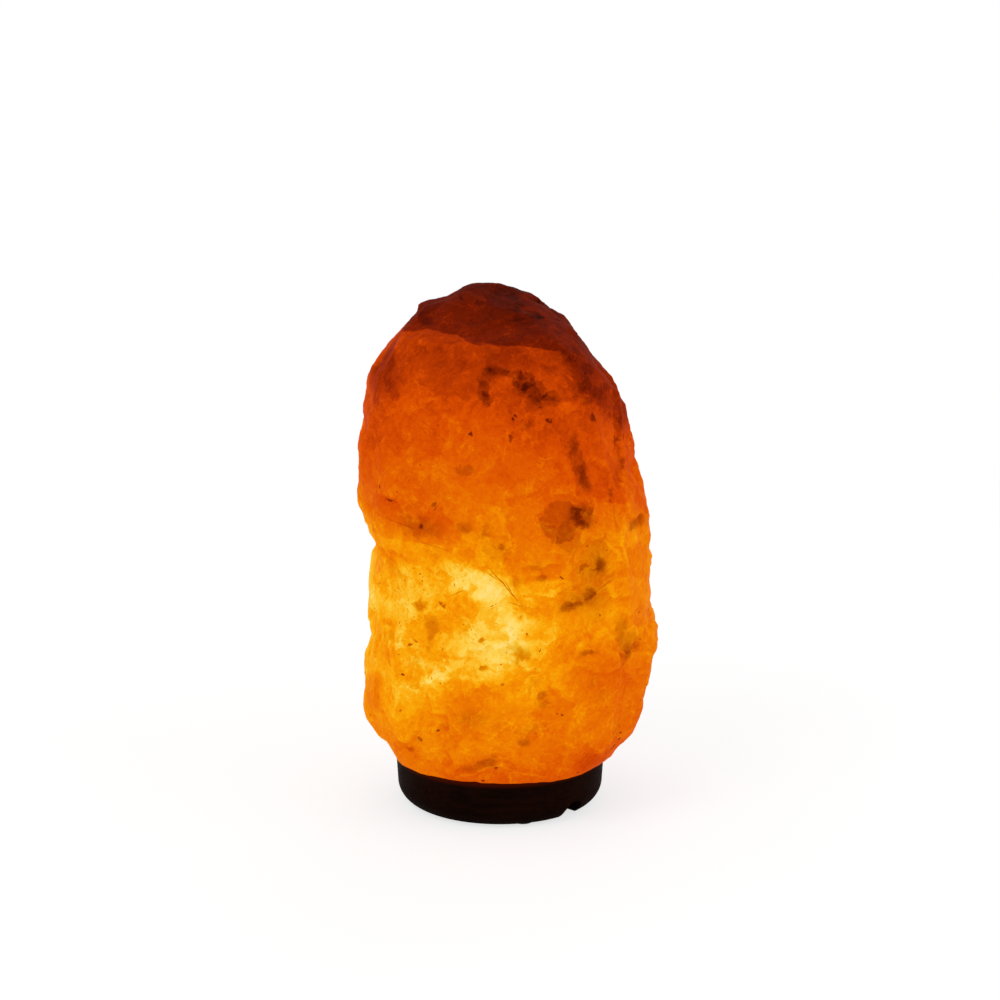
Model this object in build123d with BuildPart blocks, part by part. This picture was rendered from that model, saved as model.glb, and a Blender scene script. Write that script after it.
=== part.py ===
from build123d import *

import os
from math import atan2, cos, radians, sin

# Salt crystal lamp: a hewn block of rock salt on a turned wooden base, with a screw-in
# bulb in a holder that clips into the bore from below.
# Millimetres, +Z up, -Y is the front. The origin is on the base's axis, on the table.

# ---- Wooden base ----------------------------------------------------------------------
base_d = 100.0  # across the top edge
base_height = 22.0
base_underside_d = 87.0  # the flat underside, inside the round-over
base_round_height = 9.0  # height of the round-over at the lower edge
base_side_lean = 0.8  # the side leans out by this much towards the top edge
base_edge_r = 0.8  # the top edge, just broken
bore_d = 44.0  # drilled through the base and up into the salt
groove_width = 12.0  # cord groove across the underside
groove_height = 8.0
groove_angle = -43.5  # direction of the groove from +X, in degrees

# ---- Rubber feet ----------------------------------------------------------------------
foot_d = 10.0
foot_thickness = 2.5
foot_proud = 1.0  # the feet hold the underside this far above the table
foot_edge_inset = 1.0  # wood left between a foot and the edge of the flat underside
foot_edge_chamfer = 0.4
foot_play = 0.1  # radial room round a foot in its recess
foot_offsets = (30.0, 120.0, -120.0, -30.0)  # directions of the feet from the groove

# ---- Screws that hold the base to the salt --------------------------------------------
screw_offsets = (60.0, 180.0, -60.0)  # directions of the screws from the groove
screw_d = 4.0
screw_head_d = 8.0
screw_head_height = 2.6
screw_recess_depth = 5.0
screw_recess_play = 0.25  # radial room round the head
screw_recess_wall = 3.75  # wood left between a screw recess and the bore
screw_grip = 19.0  # length of the screw inside its anchor
screw_hole_play = 0.3
screw_point = 3.0
screw_tip_d = 0.8
screw_head_round = 1.2
screw_cross_length = 5.0
screw_cross_width = 1.0
screw_cross_depth = 1.3
anchor_d = 8.0
anchor_length = 22.0
anchor_play = 0.1  # radial room round an anchor, and round the screw inside it

# ---- Salt crystal ---------------------------------------------------------------------
# Sections from the base upwards: height above the base, then how far the salt reaches
# from the axis to the left, right, front and back, and how far the section leans towards
# the front, in degrees.
salt_foot_overhang = (1.0, 3.5, 1.5, 1.5)  # left, right, front and back, beyond the base
salt_foot_squareness = 2.1
salt_sections = (
    (7.0, 55.0, 58.5, 55.0, 54.0, 2.0),
    (17.0, 62.5, 66.0, 60.0, 58.5, -2.5),
    (35.0, 65.5, 71.5, 63.0, 61.5, 3.0),
    (62.0, 62.5, 76.0, 63.5, 61.5, -2.0),
    (80.0, 62.0, 72.0, 62.5, 61.0, 3.0),
    (95.0, 60.7, 73.0, 61.5, 61.0, -2.0),
    (114.0, 63.5, 72.0, 62.5, 61.5, -3.5),
    (127.0, 67.5, 70.5, 61.0, 60.5, 1.5),
    (150.0, 66.0, 62.5, 57.5, 58.0, 3.0),
    (177.0, 63.5, 56.5, 51.0, 52.5, -2.5),
    (190.0, 58.2, 46.5, 46.5, 47.5, 0.0),
    (202.0, 48.5, 38.0, 43.0, 42.0, 0.0),
    (209.0, 44.5, 31.0, 30.0, 38.5, 1.0),
    (217.5, 31.5, 19.0, 14.0, 31.0, 2.0),
    (224.5, 11.5, -2.0, -1.0, 17.0, 0.0),
)
salt_corner_angles = (
    (2.0, 27.0, 46.0, 71.0, 88.0, 112.0, 136.0, 157.0)
    + (179.0, 204.0, 225.0, 249.0, 272.0, 295.0, 314.0, 338.0)
)
salt_chip = 2.4  # the deepest that a corner is knocked in, on the front and the back
salt_chip_beat = 3.7  # how fast that depth changes, radians per corner and section
salt_squareness = 2.7  # higher up; 2 is an ellipse, more is nearer a rounded block
salt_facet_shift = 4.0  # corners wander this many degrees from one section to the next
salt_facet_step = 2.1  # how fast that wander changes, radians per corner and section
cavity_headroom = 7.0  # room over the bulb when it is unscrewed
cavity_top_chamfer = 4.0

# ---- Cord entry and clip --------------------------------------------------------------
cord_bend_room = 5.0  # from the groove's ceiling up to the nipple
nipple_d = 10.0
nipple_bore_d = 7.0
nipple_tail = 1.5  # nipple below its nut
nut_across_flats = 14.0
nut_height = 3.0
washer_d = 15.0
washer_thickness = 0.8
washer_tooth_count = 12
washer_tooth_depth = 1.2
thread_play = 0.05  # radial, between the nipple and what screws on it
hole_play = 0.15  # radial, between the nipple and what slips over it
clip_thickness = 0.8
clip_width = 12.0
clip_bend_r = 0.6
clip_cap_gap = 0.8  # between the holder's cap and the uprights
clip_rise = 3.0  # uprights above the cap's top edge
clip_flange_reach = 1.8  # the top of each upright is turned out by this much
wing_width = 10.0
wing_root_r = 0.5
wing_play = 0.3  # room round the wing's root, and between its tip and the bore
wing_tip_height = 1.0  # the tips bear on the salt this far above the base

# ---- Bulb holder ----------------------------------------------------------------------
cap_d = 28.0
cap_floor = 2.5
cap_wall_low = 3.0
cap_wall_high = 2.0
cap_edge_chamfer = 1.5
boss_d = 14.0
boss_height = 3.4
cap_rib_count = 30  # fine grip grooves round the cap
cap_rib_groove_r = 0.5
cap_rib_margin = 3.0  # plain band above and below the grooves
block_play = 0.2  # radial room of the contact block in the cap
block_thickness = 5.0
sleeve_engagement = 6.0  # the sleeve's skirt inside the cap
sleeve_play = 0.25
sleeve_skirt_wall = 1.2
sleeve_length = 22.0
sleeve_top_d = 25.2
sleeve_top_round = 0.8
shell_wall = 0.4
shell_height = 18.0
shell_foot_wall = 2.65  # width of the shell's flange outside its tube
shell_foot_inner_d = 11.2
bulb_shell_gap = 0.3  # radial, between the bulb's cap and the shell

# ---- Contacts and terminals -----------------------------------------------------------
contact_strip = 0.4  # thickness of the bronze strip
contact_width = 2.6
contact_rise = 2.0  # top of the centre contact above the block
contact_tail_x = -4.4
contact_bend_x = -1.4
contact_crest_x = 0.2
contact_tip_x = 1.6
centre_rivet_x = -3.1
rivet_shank_d = 1.6
rivet_head_d = 2.2
rivet_head_height = 0.6
rivet_play = 0.05
shell_rivet_count = 3
terminal_width = 5.0
terminal_length = 4.0
terminal_height = 3.8
terminal_plate = 1.0
shell_terminal_x = 4.8  # axis of the terminal's screw
centre_terminal_x = -7.8
terminal_screw_d = 2.5
terminal_head_d = 4.4
terminal_head_height = 1.4
terminal_screw_length = 3.2
terminal_boss_gap = 0.8  # between the nipple boss and the screw heads
terminal_slot = 0.6
terminal_wire_hole = 2.6  # square hole for the wire, through the clamp
terminal_plate_margin = 0.5

# ---- Bulb -----------------------------------------------------------------------------
bulb_length = 57.0
bulb_glass_d = 26.0
bulb_thread_d = 13.7
bulb_thread_pitch = 2.822
bulb_turns = 5.0
bulb_tip_gap = 0.1  # to the centre contact
bulb_contact_d = 6.0
bulb_contact_height = 1.0
insulator_height = 3.0
insulator_top_d = 12.6
tip_joint_gap = 0.2  # between the insulator and the bulb's cap
bulb_cap_length = 25.0  # from the tip to the rim of the metal cap
bulb_cap_wall = 0.4
bulb_cap_lip = 0.9
bulb_thread_length = 14.0
bulb_skirt_d = 16.8
bulb_flare_height = 3.0
glass_wall = 0.8
glass_neck_d = 15.0
glass_neck_above = 1.0  # straight neck above the metal cap
glass_seat_gap = 0.3  # from the cap's flare up to the glass
cement_play = 0.05
cement_below_rim = 0.5
stem_d = 3.0
stem_flare_height = 1.2
stem_height = 12.0  # above the flare
stem_button_d = 4.2
filament_ring_d = 12.0
filament_wire_d = 0.6
filament_open_angle = 60.0
filament_below_centre = 2.0  # ring of the filament below the centre of the glass ball
lead_wire_d = 0.5
lead_spread = 1.0
support_count = 3
support_wire_d = 0.3
wire_gap = 0.05
solder_d = 2.2
solder_height = 0.6
solder_below_rim = 1.6

# ---- Places worked out from the sizes above -------------------------------------------
base_r = base_d / 2
bore_r = bore_d / 2
base_bottom = foot_proud
base_top = base_bottom + base_height
underside_r = base_underside_d / 2
foot_circle_r = underside_r - foot_edge_inset - foot_d / 2
screw_recess_r = screw_head_d / 2 + screw_recess_play
screw_circle_r = bore_r + screw_recess_wall + screw_recess_r
screw_seat = base_bottom + screw_recess_depth

nipple_bottom = base_bottom + groove_height + cord_bend_room
nut_bottom = nipple_bottom + nipple_tail
washer_bottom = nut_bottom + nut_height
clip_bottom = washer_bottom + washer_thickness
cap_bottom = clip_bottom + clip_thickness
cap_floor_top = cap_bottom + cap_floor
boss_top = cap_floor_top + boss_height
terminal_bottom = boss_top + terminal_boss_gap + terminal_head_height
block_bottom = terminal_bottom + terminal_height + terminal_plate
block_top = block_bottom + block_thickness
cap_top = block_top + sleeve_engagement
sleeve_top = cap_top + sleeve_length
cap_r = cap_d / 2
cap_low_r = cap_r - cap_wall_low
cap_high_r = cap_r - cap_wall_high
block_r = cap_high_r - block_play
skirt_r = cap_high_r - sleeve_play
sleeve_inner_r = skirt_r - sleeve_skirt_wall
sleeve_top_wall = sleeve_top_d / 2 - sleeve_inner_r
shell_inner_r = bulb_thread_d / 2 + bulb_shell_gap
shell_r = shell_inner_r + shell_wall
shell_foot_r = shell_r + shell_foot_wall
shell_rivet_r = (shell_r + shell_foot_r) / 2

upright_inner_x = cap_r + clip_cap_gap
upright_outer_x = upright_inner_x + clip_thickness
upright_top = cap_top + clip_rise
flange_x = upright_outer_x + clip_flange_reach
wing_root_x = upright_outer_x + wing_play + wing_root_r + clip_thickness / 2
wing_root_z = upright_top - clip_thickness - wing_play - wing_root_r
wing_tip_z = base_top + wing_tip_height
wing_reach_r = bore_r - wing_play
wing_tip_x = (wing_reach_r**2 - (wing_width / 2) ** 2) ** 0.5

bulb_tip_z = block_top + contact_rise + bulb_tip_gap
insulator_bottom = bulb_tip_z + bulb_contact_height
bulb_cap_bottom = insulator_bottom + insulator_height + tip_joint_gap
bulb_thread_top = bulb_cap_bottom + bulb_thread_length
bulb_cap_top = bulb_tip_z + bulb_cap_length
bulb_top = bulb_tip_z + bulb_length
glass_r = bulb_glass_d / 2
glass_centre = bulb_top - glass_r
glass_bottom = bulb_thread_top + bulb_flare_height + glass_seat_gap
stem_bottom = glass_bottom
stem_top = stem_bottom + stem_flare_height + stem_height
filament_z = glass_centre - filament_below_centre
bulb_travel = bulb_thread_pitch * bulb_turns
cavity_top = bulb_top + bulb_travel + cavity_headroom

groove_out = (cos(radians(groove_angle)), sin(radians(groove_angle)))
groove_plane = Plane(
    origin=(0, 0, base_bottom),
    x_dir=(-groove_out[1], groove_out[0], 0),
    z_dir=(groove_out[0], groove_out[1], 0),
)


def on_circle(radius, angle):
    """The point at a radius and an angle in degrees."""
    return (radius * cos(radians(angle)), radius * sin(radians(angle)))


foot_points = [on_circle(foot_circle_r, groove_angle + a) for a in foot_offsets]
screw_points = [on_circle(screw_circle_r, groove_angle + a) for a in screw_offsets]


def turn(points, mode=Mode.ADD):
    """Turn a closed outline of (radius, height) points about the Z axis."""
    with BuildSketch(Plane.XZ) as outline:
        with BuildLine():
            Polyline(*points, close=True)
        make_face()
    revolve(outline.sketch, axis=Axis.Z, mode=mode)


def discs(points, radius, bottom, height, mode=Mode.ADD):
    """A round disc or hole at each (x, y) point, from a height upwards."""
    with BuildSketch(Plane.XY.offset(bottom)) as circles:
        with Locations(*points):
            Circle(radius)
    extrude(circles.sketch, amount=height, mode=mode)


def wire(start, end, diameter):
    """A straight round wire between two points."""
    run = Vector(*end) - Vector(*start)
    with BuildSketch(Plane(origin=start, z_dir=run)) as section:
        Circle(diameter / 2)
    extrude(section.sketch, amount=run.length)


# ---- Wooden base ----------------------------------------------------------------------
groove_r = groove_width / 2
side_foot = (base_r - base_side_lean, base_bottom + base_round_height)
with BuildPart() as wooden_base:
    with BuildSketch(Plane.XZ):
        with BuildLine():
            Line((bore_r, base_bottom), (underside_r, base_bottom))
            TangentArc(side_foot, (underside_r, base_bottom), tangent=(0, -1))
            Line(side_foot, (base_r, base_top))
            Line((base_r, base_top), (bore_r, base_top))
            Line((bore_r, base_top), (bore_r, base_bottom))
        make_face()
    revolve(axis=Axis.Z)
    top_rim = wooden_base.edges().filter_by(GeomType.CIRCLE).group_by(Axis.Z)[-1].sort_by(SortBy.RADIUS)[-1]
    fillet(top_rim, radius=base_edge_r)
    with BuildSketch(groove_plane):
        with BuildLine():
            Line((groove_r, -foot_proud), (groove_r, groove_height - groove_r))
            ThreePointArc(
                (groove_r, groove_height - groove_r),
                (0, groove_height),
                (-groove_r, groove_height - groove_r),
            )
            Line((-groove_r, groove_height - groove_r), (-groove_r, -foot_proud))
            Line((-groove_r, -foot_proud), (groove_r, -foot_proud))
        make_face()
    extrude(amount=base_d, mode=Mode.SUBTRACT)
    discs(foot_points, foot_d / 2 + foot_play, base_bottom, foot_thickness - foot_proud, Mode.SUBTRACT)
    with Locations(*[Plane(origin=(x, y, base_bottom), z_dir=(0, 0, -1)) for x, y in screw_points]):
        CounterBoreHole(
            radius=screw_d / 2 + screw_hole_play,
            counter_bore_radius=screw_recess_r,
            counter_bore_depth=screw_recess_depth,
            depth=base_height,
        )
wooden_base.part.label = "wooden_base"

# ---- Rubber feet ----------------------------------------------------------------------
with BuildPart() as rubber_feet:
    discs(foot_points, foot_d / 2, 0, foot_thickness)
    chamfer(rubber_feet.edges().group_by(Axis.Z)[0], length=foot_edge_chamfer)
rubber_feet.part.label = "rubber_feet"

# ---- Base screws and their anchors ----------------------------------------------------
screw_head_bottom = screw_seat - screw_head_height
screw_end = base_top + screw_grip
with BuildPart() as one_screw:
    turn(
        (
            (0, screw_head_bottom),
            (screw_head_d / 2, screw_head_bottom),
            (screw_head_d / 2, screw_seat),
            (screw_d / 2, screw_seat),
            (screw_d / 2, screw_end - screw_point),
            (screw_tip_d / 2, screw_end),
            (0, screw_end),
        )
    )
    fillet(one_screw.edges().group_by(Axis.Z)[0], radius=screw_head_round)
    with BuildSketch(Plane.XY.offset(screw_head_bottom)):
        Rectangle(screw_cross_length, screw_cross_width)
        Rectangle(screw_cross_width, screw_cross_length)
    extrude(amount=screw_cross_depth, mode=Mode.SUBTRACT)
with BuildPart() as base_screws:
    with Locations(*screw_points):
        add(one_screw.part)
base_screws.part.label = "base_screws"

with BuildPart() as screw_anchors:
    discs(screw_points, anchor_d / 2, base_top, anchor_length)
    discs(screw_points, screw_d / 2 + anchor_play, base_top, screw_grip + anchor_play, Mode.SUBTRACT)
screw_anchors.part.label = "screw_anchors"


# ---- Salt crystal ---------------------------------------------------------------------
def salt_outline(index, left, right, front, back):
    """Corners of one hewn section, between its reaches from the axis."""
    squareness = salt_squareness if index else salt_foot_squareness
    centre_x = (right - left) / 2
    centre_y = (back - front) / 2
    half_x = (right + left) / 2
    half_y = (back + front) / 2
    corners = []
    for number, angle in enumerate(salt_corner_angles):
        wander = salt_facet_shift * sin(salt_facet_step * (index + number * number))
        c = cos(radians(angle + wander))
        s = sin(radians(angle + wander))
        reach = (abs(c) ** squareness + abs(s) ** squareness) ** (-1 / squareness)
        knock = (1 + sin(salt_chip_beat * (index + number * number))) / 2
        chip = salt_chip * knock * s * s if index else 0
        corners.append((centre_x + (half_x * reach - chip) * c, centre_y + (half_y * reach - chip) * s))
    return corners


salt_foot = (0.0, *[base_r + overhang for overhang in salt_foot_overhang], 0.0)
with BuildPart() as salt_crystal:
    for index, (height, *reaches, lean) in enumerate((salt_foot, *salt_sections)):
        with BuildSketch(Plane(origin=(0, 0, base_top + height)).rotated((lean, 0, 0))):
            with BuildLine():
                Polyline(*salt_outline(index, *reaches), close=True)
            make_face()
    loft(ruled=True)
    turn(
        (
            (0, base_top),
            (bore_r, base_top),
            (bore_r, cavity_top - cavity_top_chamfer),
            (bore_r - cavity_top_chamfer, cavity_top),
            (0, cavity_top),
        ),
        Mode.SUBTRACT,
    )
    discs(screw_points, anchor_d / 2 + anchor_play, base_top, anchor_length + anchor_play, Mode.SUBTRACT)
salt_crystal.part.label = "salt_crystal"

# ---- Cord entry: nipple, nut and washer -----------------------------------------------
nipple_r = nipple_d / 2
with BuildPart() as entry_nipple:
    with BuildSketch(Plane.XY.offset(nipple_bottom)):
        Circle(nipple_r)
        Circle(nipple_bore_d / 2, mode=Mode.SUBTRACT)
    extrude(amount=boss_top - nipple_bottom)
entry_nipple.part.label = "entry_nipple"

with BuildPart() as nipple_nut:
    with BuildSketch(Plane.XY.offset(nut_bottom)):
        RegularPolygon(radius=nut_across_flats / 2, side_count=6, major_radius=False)
        Circle(nipple_r + thread_play, mode=Mode.SUBTRACT)
    extrude(amount=nut_height)
nipple_nut.part.label = "nipple_nut"

with BuildPart() as lock_washer:
    with BuildSketch(Plane.XY.offset(washer_bottom)):
        Circle(washer_d / 2)
        Circle(nipple_r + hole_play, mode=Mode.SUBTRACT)
        with PolarLocations(washer_d / 2, washer_tooth_count):
            Rectangle(2 * washer_tooth_depth, washer_tooth_depth, mode=Mode.SUBTRACT)
    extrude(amount=washer_thickness)
lock_washer.part.label = "lock_washer"

# ---- Clip: bracket and two spring wings -----------------------------------------------
with BuildPart() as clip_frame:
    with BuildSketch(Plane.XZ):
        with BuildLine():
            Polyline(
                (-flange_x, upright_top),
                (-upright_inner_x, upright_top),
                (-upright_inner_x, cap_bottom),
                (upright_inner_x, cap_bottom),
                (upright_inner_x, upright_top),
                (flange_x, upright_top),
                (flange_x, upright_top - clip_thickness),
                (upright_outer_x, upright_top - clip_thickness),
                (upright_outer_x, clip_bottom),
                (-upright_outer_x, clip_bottom),
                (-upright_outer_x, upright_top - clip_thickness),
                (-flange_x, upright_top - clip_thickness),
                close=True,
            )
        make_face()
    extrude(amount=clip_width / 2, both=True)
    lower_bends = clip_frame.edges().filter_by(Axis.Y).group_by(Axis.Z)[0]
    fillet(lower_bends, radius=clip_bend_r + clip_thickness)
    with BuildSketch(Plane.XY.offset(clip_bottom)):
        Circle(nipple_r + hole_play)
    extrude(amount=clip_thickness, mode=Mode.SUBTRACT)
clip_frame.part.label = "clip_frame"


def clip_wing(side):
    """A spring wing: a rolled root under the bracket's flange, and a strip down to the bore."""
    lean = atan2(wing_tip_x - clip_thickness / 2 - wing_root_x, wing_root_z - wing_tip_z)
    across = (clip_thickness / 2 * cos(lean), clip_thickness / 2 * sin(lean))
    tip = (wing_tip_x - across[0], wing_tip_z + across[1])
    with BuildPart() as wing:
        with BuildSketch(Plane.XZ):
            with Locations((side * wing_root_x, wing_root_z)):
                Circle(wing_root_r)
            with BuildLine():
                Polyline(
                    (side * (wing_root_x - across[0]), wing_root_z - across[1]),
                    (side * (wing_root_x + across[0]), wing_root_z + across[1]),
                    (side * (tip[0] + across[0]), tip[1] + across[1]),
                    (side * (tip[0] - across[0]), tip[1] - across[1]),
                    close=True,
                )
            make_face()
        extrude(amount=wing_width / 2, both=True)
    return wing.part


clip_wings = {"clip_wing_left": clip_wing(-1), "clip_wing_right": clip_wing(1)}
for name, wing in clip_wings.items():
    wing.label = name

# ---- Bulb holder: cap, contact block and sleeve ---------------------------------------
with BuildPart() as holder_cap:
    turn(
        (
            (nipple_r + thread_play, cap_bottom),
            (cap_r, cap_bottom),
            (cap_r, cap_top),
            (cap_high_r, cap_top),
            (cap_high_r, block_bottom),
            (cap_low_r, block_bottom),
            (cap_low_r, cap_floor_top),
            (boss_d / 2, cap_floor_top),
            (boss_d / 2, boss_top),
            (nipple_r + thread_play, boss_top),
        )
    )
    chamfer(
        holder_cap.edges().filter_by(GeomType.CIRCLE).group_by(Axis.Z)[0].sort_by(SortBy.RADIUS)[-1],
        length=cap_edge_chamfer,
    )
    with BuildSketch(Plane.XY.offset(cap_bottom + cap_rib_margin)):
        with PolarLocations(cap_r, cap_rib_count):
            Circle(cap_rib_groove_r)
    extrude(amount=cap_top - cap_bottom - 2 * cap_rib_margin, mode=Mode.SUBTRACT)
holder_cap.part.label = "holder_cap"

shell_rivet_points = [on_circle(shell_rivet_r, 360 / shell_rivet_count * n) for n in range(shell_rivet_count)]
centre_rivet_point = (centre_rivet_x, 0)
rivet_points = [centre_rivet_point, *shell_rivet_points]
rivet_hole_r = rivet_shank_d / 2 + rivet_play
with BuildPart() as contact_block:
    discs([(0, 0)], block_r, block_bottom, block_thickness)
    discs(rivet_points, rivet_hole_r, block_bottom, block_thickness, Mode.SUBTRACT)
contact_block.part.label = "contact_block"

with BuildPart() as holder_sleeve:
    turn(
        (
            (sleeve_inner_r, block_top),
            (skirt_r, block_top),
            (skirt_r, cap_top),
            (cap_r, cap_top),
            (sleeve_top_d / 2, sleeve_top),
            (sleeve_inner_r, sleeve_top),
        )
    )
    fillet(
        holder_sleeve.edges().filter_by(GeomType.CIRCLE).group_by(Axis.Z)[-1].sort_by(SortBy.RADIUS)[-1],
        radius=min(sleeve_top_round, sleeve_top_wall / 2),
    )
holder_sleeve.part.label = "holder_sleeve"

with BuildPart() as screw_shell:
    turn(
        (
            (shell_foot_inner_d / 2, block_top),
            (shell_foot_r, block_top),
            (shell_foot_r, block_top + shell_wall),
            (shell_r, block_top + shell_wall),
            (shell_r, block_top + shell_height),
            (shell_inner_r, block_top + shell_height),
            (shell_inner_r, block_top + shell_wall),
            (shell_foot_inner_d / 2, block_top + shell_wall),
        )
    )
    discs(shell_rivet_points, rivet_hole_r, block_top, shell_wall, Mode.SUBTRACT)
screw_shell.part.label = "screw_shell"

# ---- Contacts, rivets and terminals ---------------------------------------------------
crest = block_top + contact_rise
with BuildPart() as centre_contact:
    with BuildSketch(Plane.XZ):
        with BuildLine():
            Polyline(
                (contact_tail_x, block_top),
                (contact_bend_x, block_top),
                (contact_crest_x, crest - contact_strip),
                (contact_tip_x, crest - contact_strip),
                (contact_tip_x, crest),
                (contact_crest_x - contact_strip / 2, crest),
                (contact_bend_x - contact_strip / 2, block_top + contact_strip),
                (contact_tail_x, block_top + contact_strip),
                close=True,
            )
        make_face()
    extrude(amount=contact_width / 2, both=True)
    discs([centre_rivet_point], rivet_hole_r, block_top, contact_strip, Mode.SUBTRACT)
centre_contact.part.label = "centre_contact"


def terminal(screw_x, rivet_x, plate_ends):
    """A brass clamp under the block, with a plate out to the rivet of its contact."""
    middle_x = (plate_ends[0] + plate_ends[1]) / 2
    with BuildPart() as clamp:
        with BuildSketch(Plane.XY.offset(terminal_bottom)):
            with Locations((screw_x, 0)):
                Rectangle(terminal_length, terminal_width)
        extrude(amount=terminal_height)
        with BuildSketch(Plane.XY.offset(block_bottom - terminal_plate)):
            with Locations((middle_x, 0)):
                Rectangle(plate_ends[1] - plate_ends[0], terminal_width)
        extrude(amount=terminal_plate)
        discs([(rivet_x, 0)], rivet_hole_r, block_bottom - terminal_plate, terminal_plate, Mode.SUBTRACT)
        hole_depth = terminal_screw_length + rivet_play
        discs([(screw_x, 0)], terminal_hole_r, terminal_bottom, hole_depth, Mode.SUBTRACT)
        with BuildSketch(Plane.YZ.offset(screw_x - terminal_length / 2)):
            with Locations((0, terminal_bottom + terminal_height / 2)):
                Rectangle(terminal_wire_hole, terminal_wire_hole)
        extrude(amount=terminal_length, mode=Mode.SUBTRACT)
    return clamp.part


terminal_hole_r = terminal_screw_d / 2 + rivet_play
plate_margin = terminal_plate_margin + rivet_head_d / 2
centre_plate = (centre_terminal_x - terminal_length / 2, centre_rivet_x + plate_margin)
shell_plate = (shell_terminal_x - terminal_length / 2, shell_rivet_r + plate_margin)
terminals = {
    "centre_terminal": terminal(centre_terminal_x, centre_rivet_x, centre_plate),
    "shell_terminal": terminal(shell_terminal_x, shell_rivet_r, shell_plate),
}
for name, clamp in terminals.items():
    clamp.label = name

terminal_screw_points = [(centre_terminal_x, 0), (shell_terminal_x, 0)]
terminal_head_bottom = terminal_bottom - terminal_head_height
with BuildPart() as terminal_screws:
    discs(terminal_screw_points, terminal_head_d / 2, terminal_head_bottom, terminal_head_height)
    with BuildSketch(Plane.XY.offset(terminal_head_bottom)):
        with Locations(*terminal_screw_points):
            Rectangle(terminal_head_d, terminal_slot)
    extrude(amount=terminal_slot, mode=Mode.SUBTRACT)
    discs(terminal_screw_points, terminal_screw_d / 2, terminal_bottom, terminal_screw_length)
terminal_screws.part.label = "terminal_screws"

# the rivets that hold a terminal close under its plate, the others under the block
plate_rivets = [centre_rivet_point, shell_rivet_points[0]]
block_rivets = shell_rivet_points[1:]
with BuildPart() as contact_rivets:
    discs(rivet_points, rivet_head_d / 2, block_top + contact_strip, rivet_head_height)
    for points, bottom in ((plate_rivets, block_bottom - terminal_plate), (block_rivets, block_bottom)):
        discs(points, rivet_head_d / 2, bottom - rivet_head_height, rivet_head_height)
        discs(points, rivet_shank_d / 2, bottom, block_top + contact_strip - bottom)
contact_rivets.part.label = "contact_rivets"

# ---- Bulb: tip ------------------------------------------------------------------------
contact_r = bulb_contact_d / 2
with BuildPart() as bulb_contact:
    discs([(0, 0)], contact_r, bulb_tip_z, bulb_contact_height)
    fillet(bulb_contact.edges().group_by(Axis.Z)[0], radius=bulb_contact_height - contact_strip)
bulb_contact.part.label = "bulb_contact"

with BuildPart() as bulb_insulator:
    turn(
        (
            (0, insulator_bottom),
            (contact_r, insulator_bottom),
            (insulator_top_d / 2, insulator_bottom + insulator_height),
            (0, insulator_bottom + insulator_height),
        )
    )
bulb_insulator.part.label = "bulb_insulator"

# ---- Bulb: metal cap, solder and cement -----------------------------------------------
thread_r = bulb_thread_d / 2
skirt_top_r = bulb_skirt_d / 2
with BuildPart() as bulb_cap:
    turn(
        (
            (thread_r - bulb_cap_lip, bulb_cap_bottom),
            (thread_r, bulb_cap_bottom),
            (thread_r, bulb_thread_top),
            (skirt_top_r, bulb_thread_top + bulb_flare_height),
            (skirt_top_r, bulb_cap_top),
            (skirt_top_r - bulb_cap_wall, bulb_cap_top),
            (skirt_top_r - bulb_cap_wall, bulb_thread_top + bulb_flare_height),
            (thread_r - bulb_cap_wall, bulb_thread_top),
            (thread_r - bulb_cap_wall, bulb_cap_bottom + bulb_cap_wall),
            (thread_r - bulb_cap_lip, bulb_cap_bottom + bulb_cap_wall),
        )
    )
bulb_cap.part.label = "bulb_cap"

with BuildPart() as side_solder:
    with BuildSketch(Plane.YZ.offset(skirt_top_r)):
        with Locations((0, bulb_cap_top - solder_below_rim)):
            Circle(solder_d / 2)
    extrude(amount=solder_height)
    fillet(side_solder.edges().group_by(Axis.X)[-1], radius=solder_height / 2)
side_solder.part.label = "side_solder"

neck_r = glass_neck_d / 2
with BuildPart() as bulb_cement:
    with BuildSketch(Plane.XY.offset(glass_bottom)):
        Circle(skirt_top_r - bulb_cap_wall - cement_play)
        Circle(neck_r + cement_play, mode=Mode.SUBTRACT)
    extrude(amount=bulb_cap_top - cement_below_rim - glass_bottom)
bulb_cement.part.label = "bulb_cement"


# ---- Bulb: glass and what it holds ----------------------------------------------------
def glass_body(inset):
    """The pear shape of the bulb, turned, with its wall moved in by an inset."""
    neck = neck_r - inset
    ball = glass_r - inset
    neck_top = bulb_cap_top + glass_neck_above
    with BuildSketch(Plane.XZ) as outline:
        with BuildLine():
            Line((0, glass_bottom), (neck, glass_bottom))
            Line((neck, glass_bottom), (neck, neck_top))
            Spline((neck, neck_top), (ball, glass_centre), tangents=((0, 1), (0, 1)))
            RadiusArc((ball, glass_centre), (0, glass_centre + ball), -ball)
            Line((0, glass_centre + ball), (0, glass_bottom))
        make_face()
    revolve(outline.sketch, axis=Axis.Z, mode=Mode.SUBTRACT if inset else Mode.ADD)


with BuildPart() as bulb_glass:
    glass_body(0)
    glass_body(glass_wall)
bulb_glass.part.label = "bulb_glass"

stem_r = stem_d / 2
flare_r = neck_r - glass_wall - wire_gap
flare_top = stem_bottom + stem_flare_height
with BuildPart() as bulb_stem:
    turn(
        (
            (0, stem_bottom),
            (flare_r, stem_bottom),
            (flare_r, stem_bottom + stem_flare_height / 2),
            (stem_r, flare_top + stem_flare_height),
            (stem_r, stem_top - stem_flare_height),
            (stem_button_d / 2, stem_top - stem_flare_height / 2),
            (stem_r, stem_top),
            (0, stem_top),
        )
    )
bulb_stem.part.label = "bulb_stem"

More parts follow.
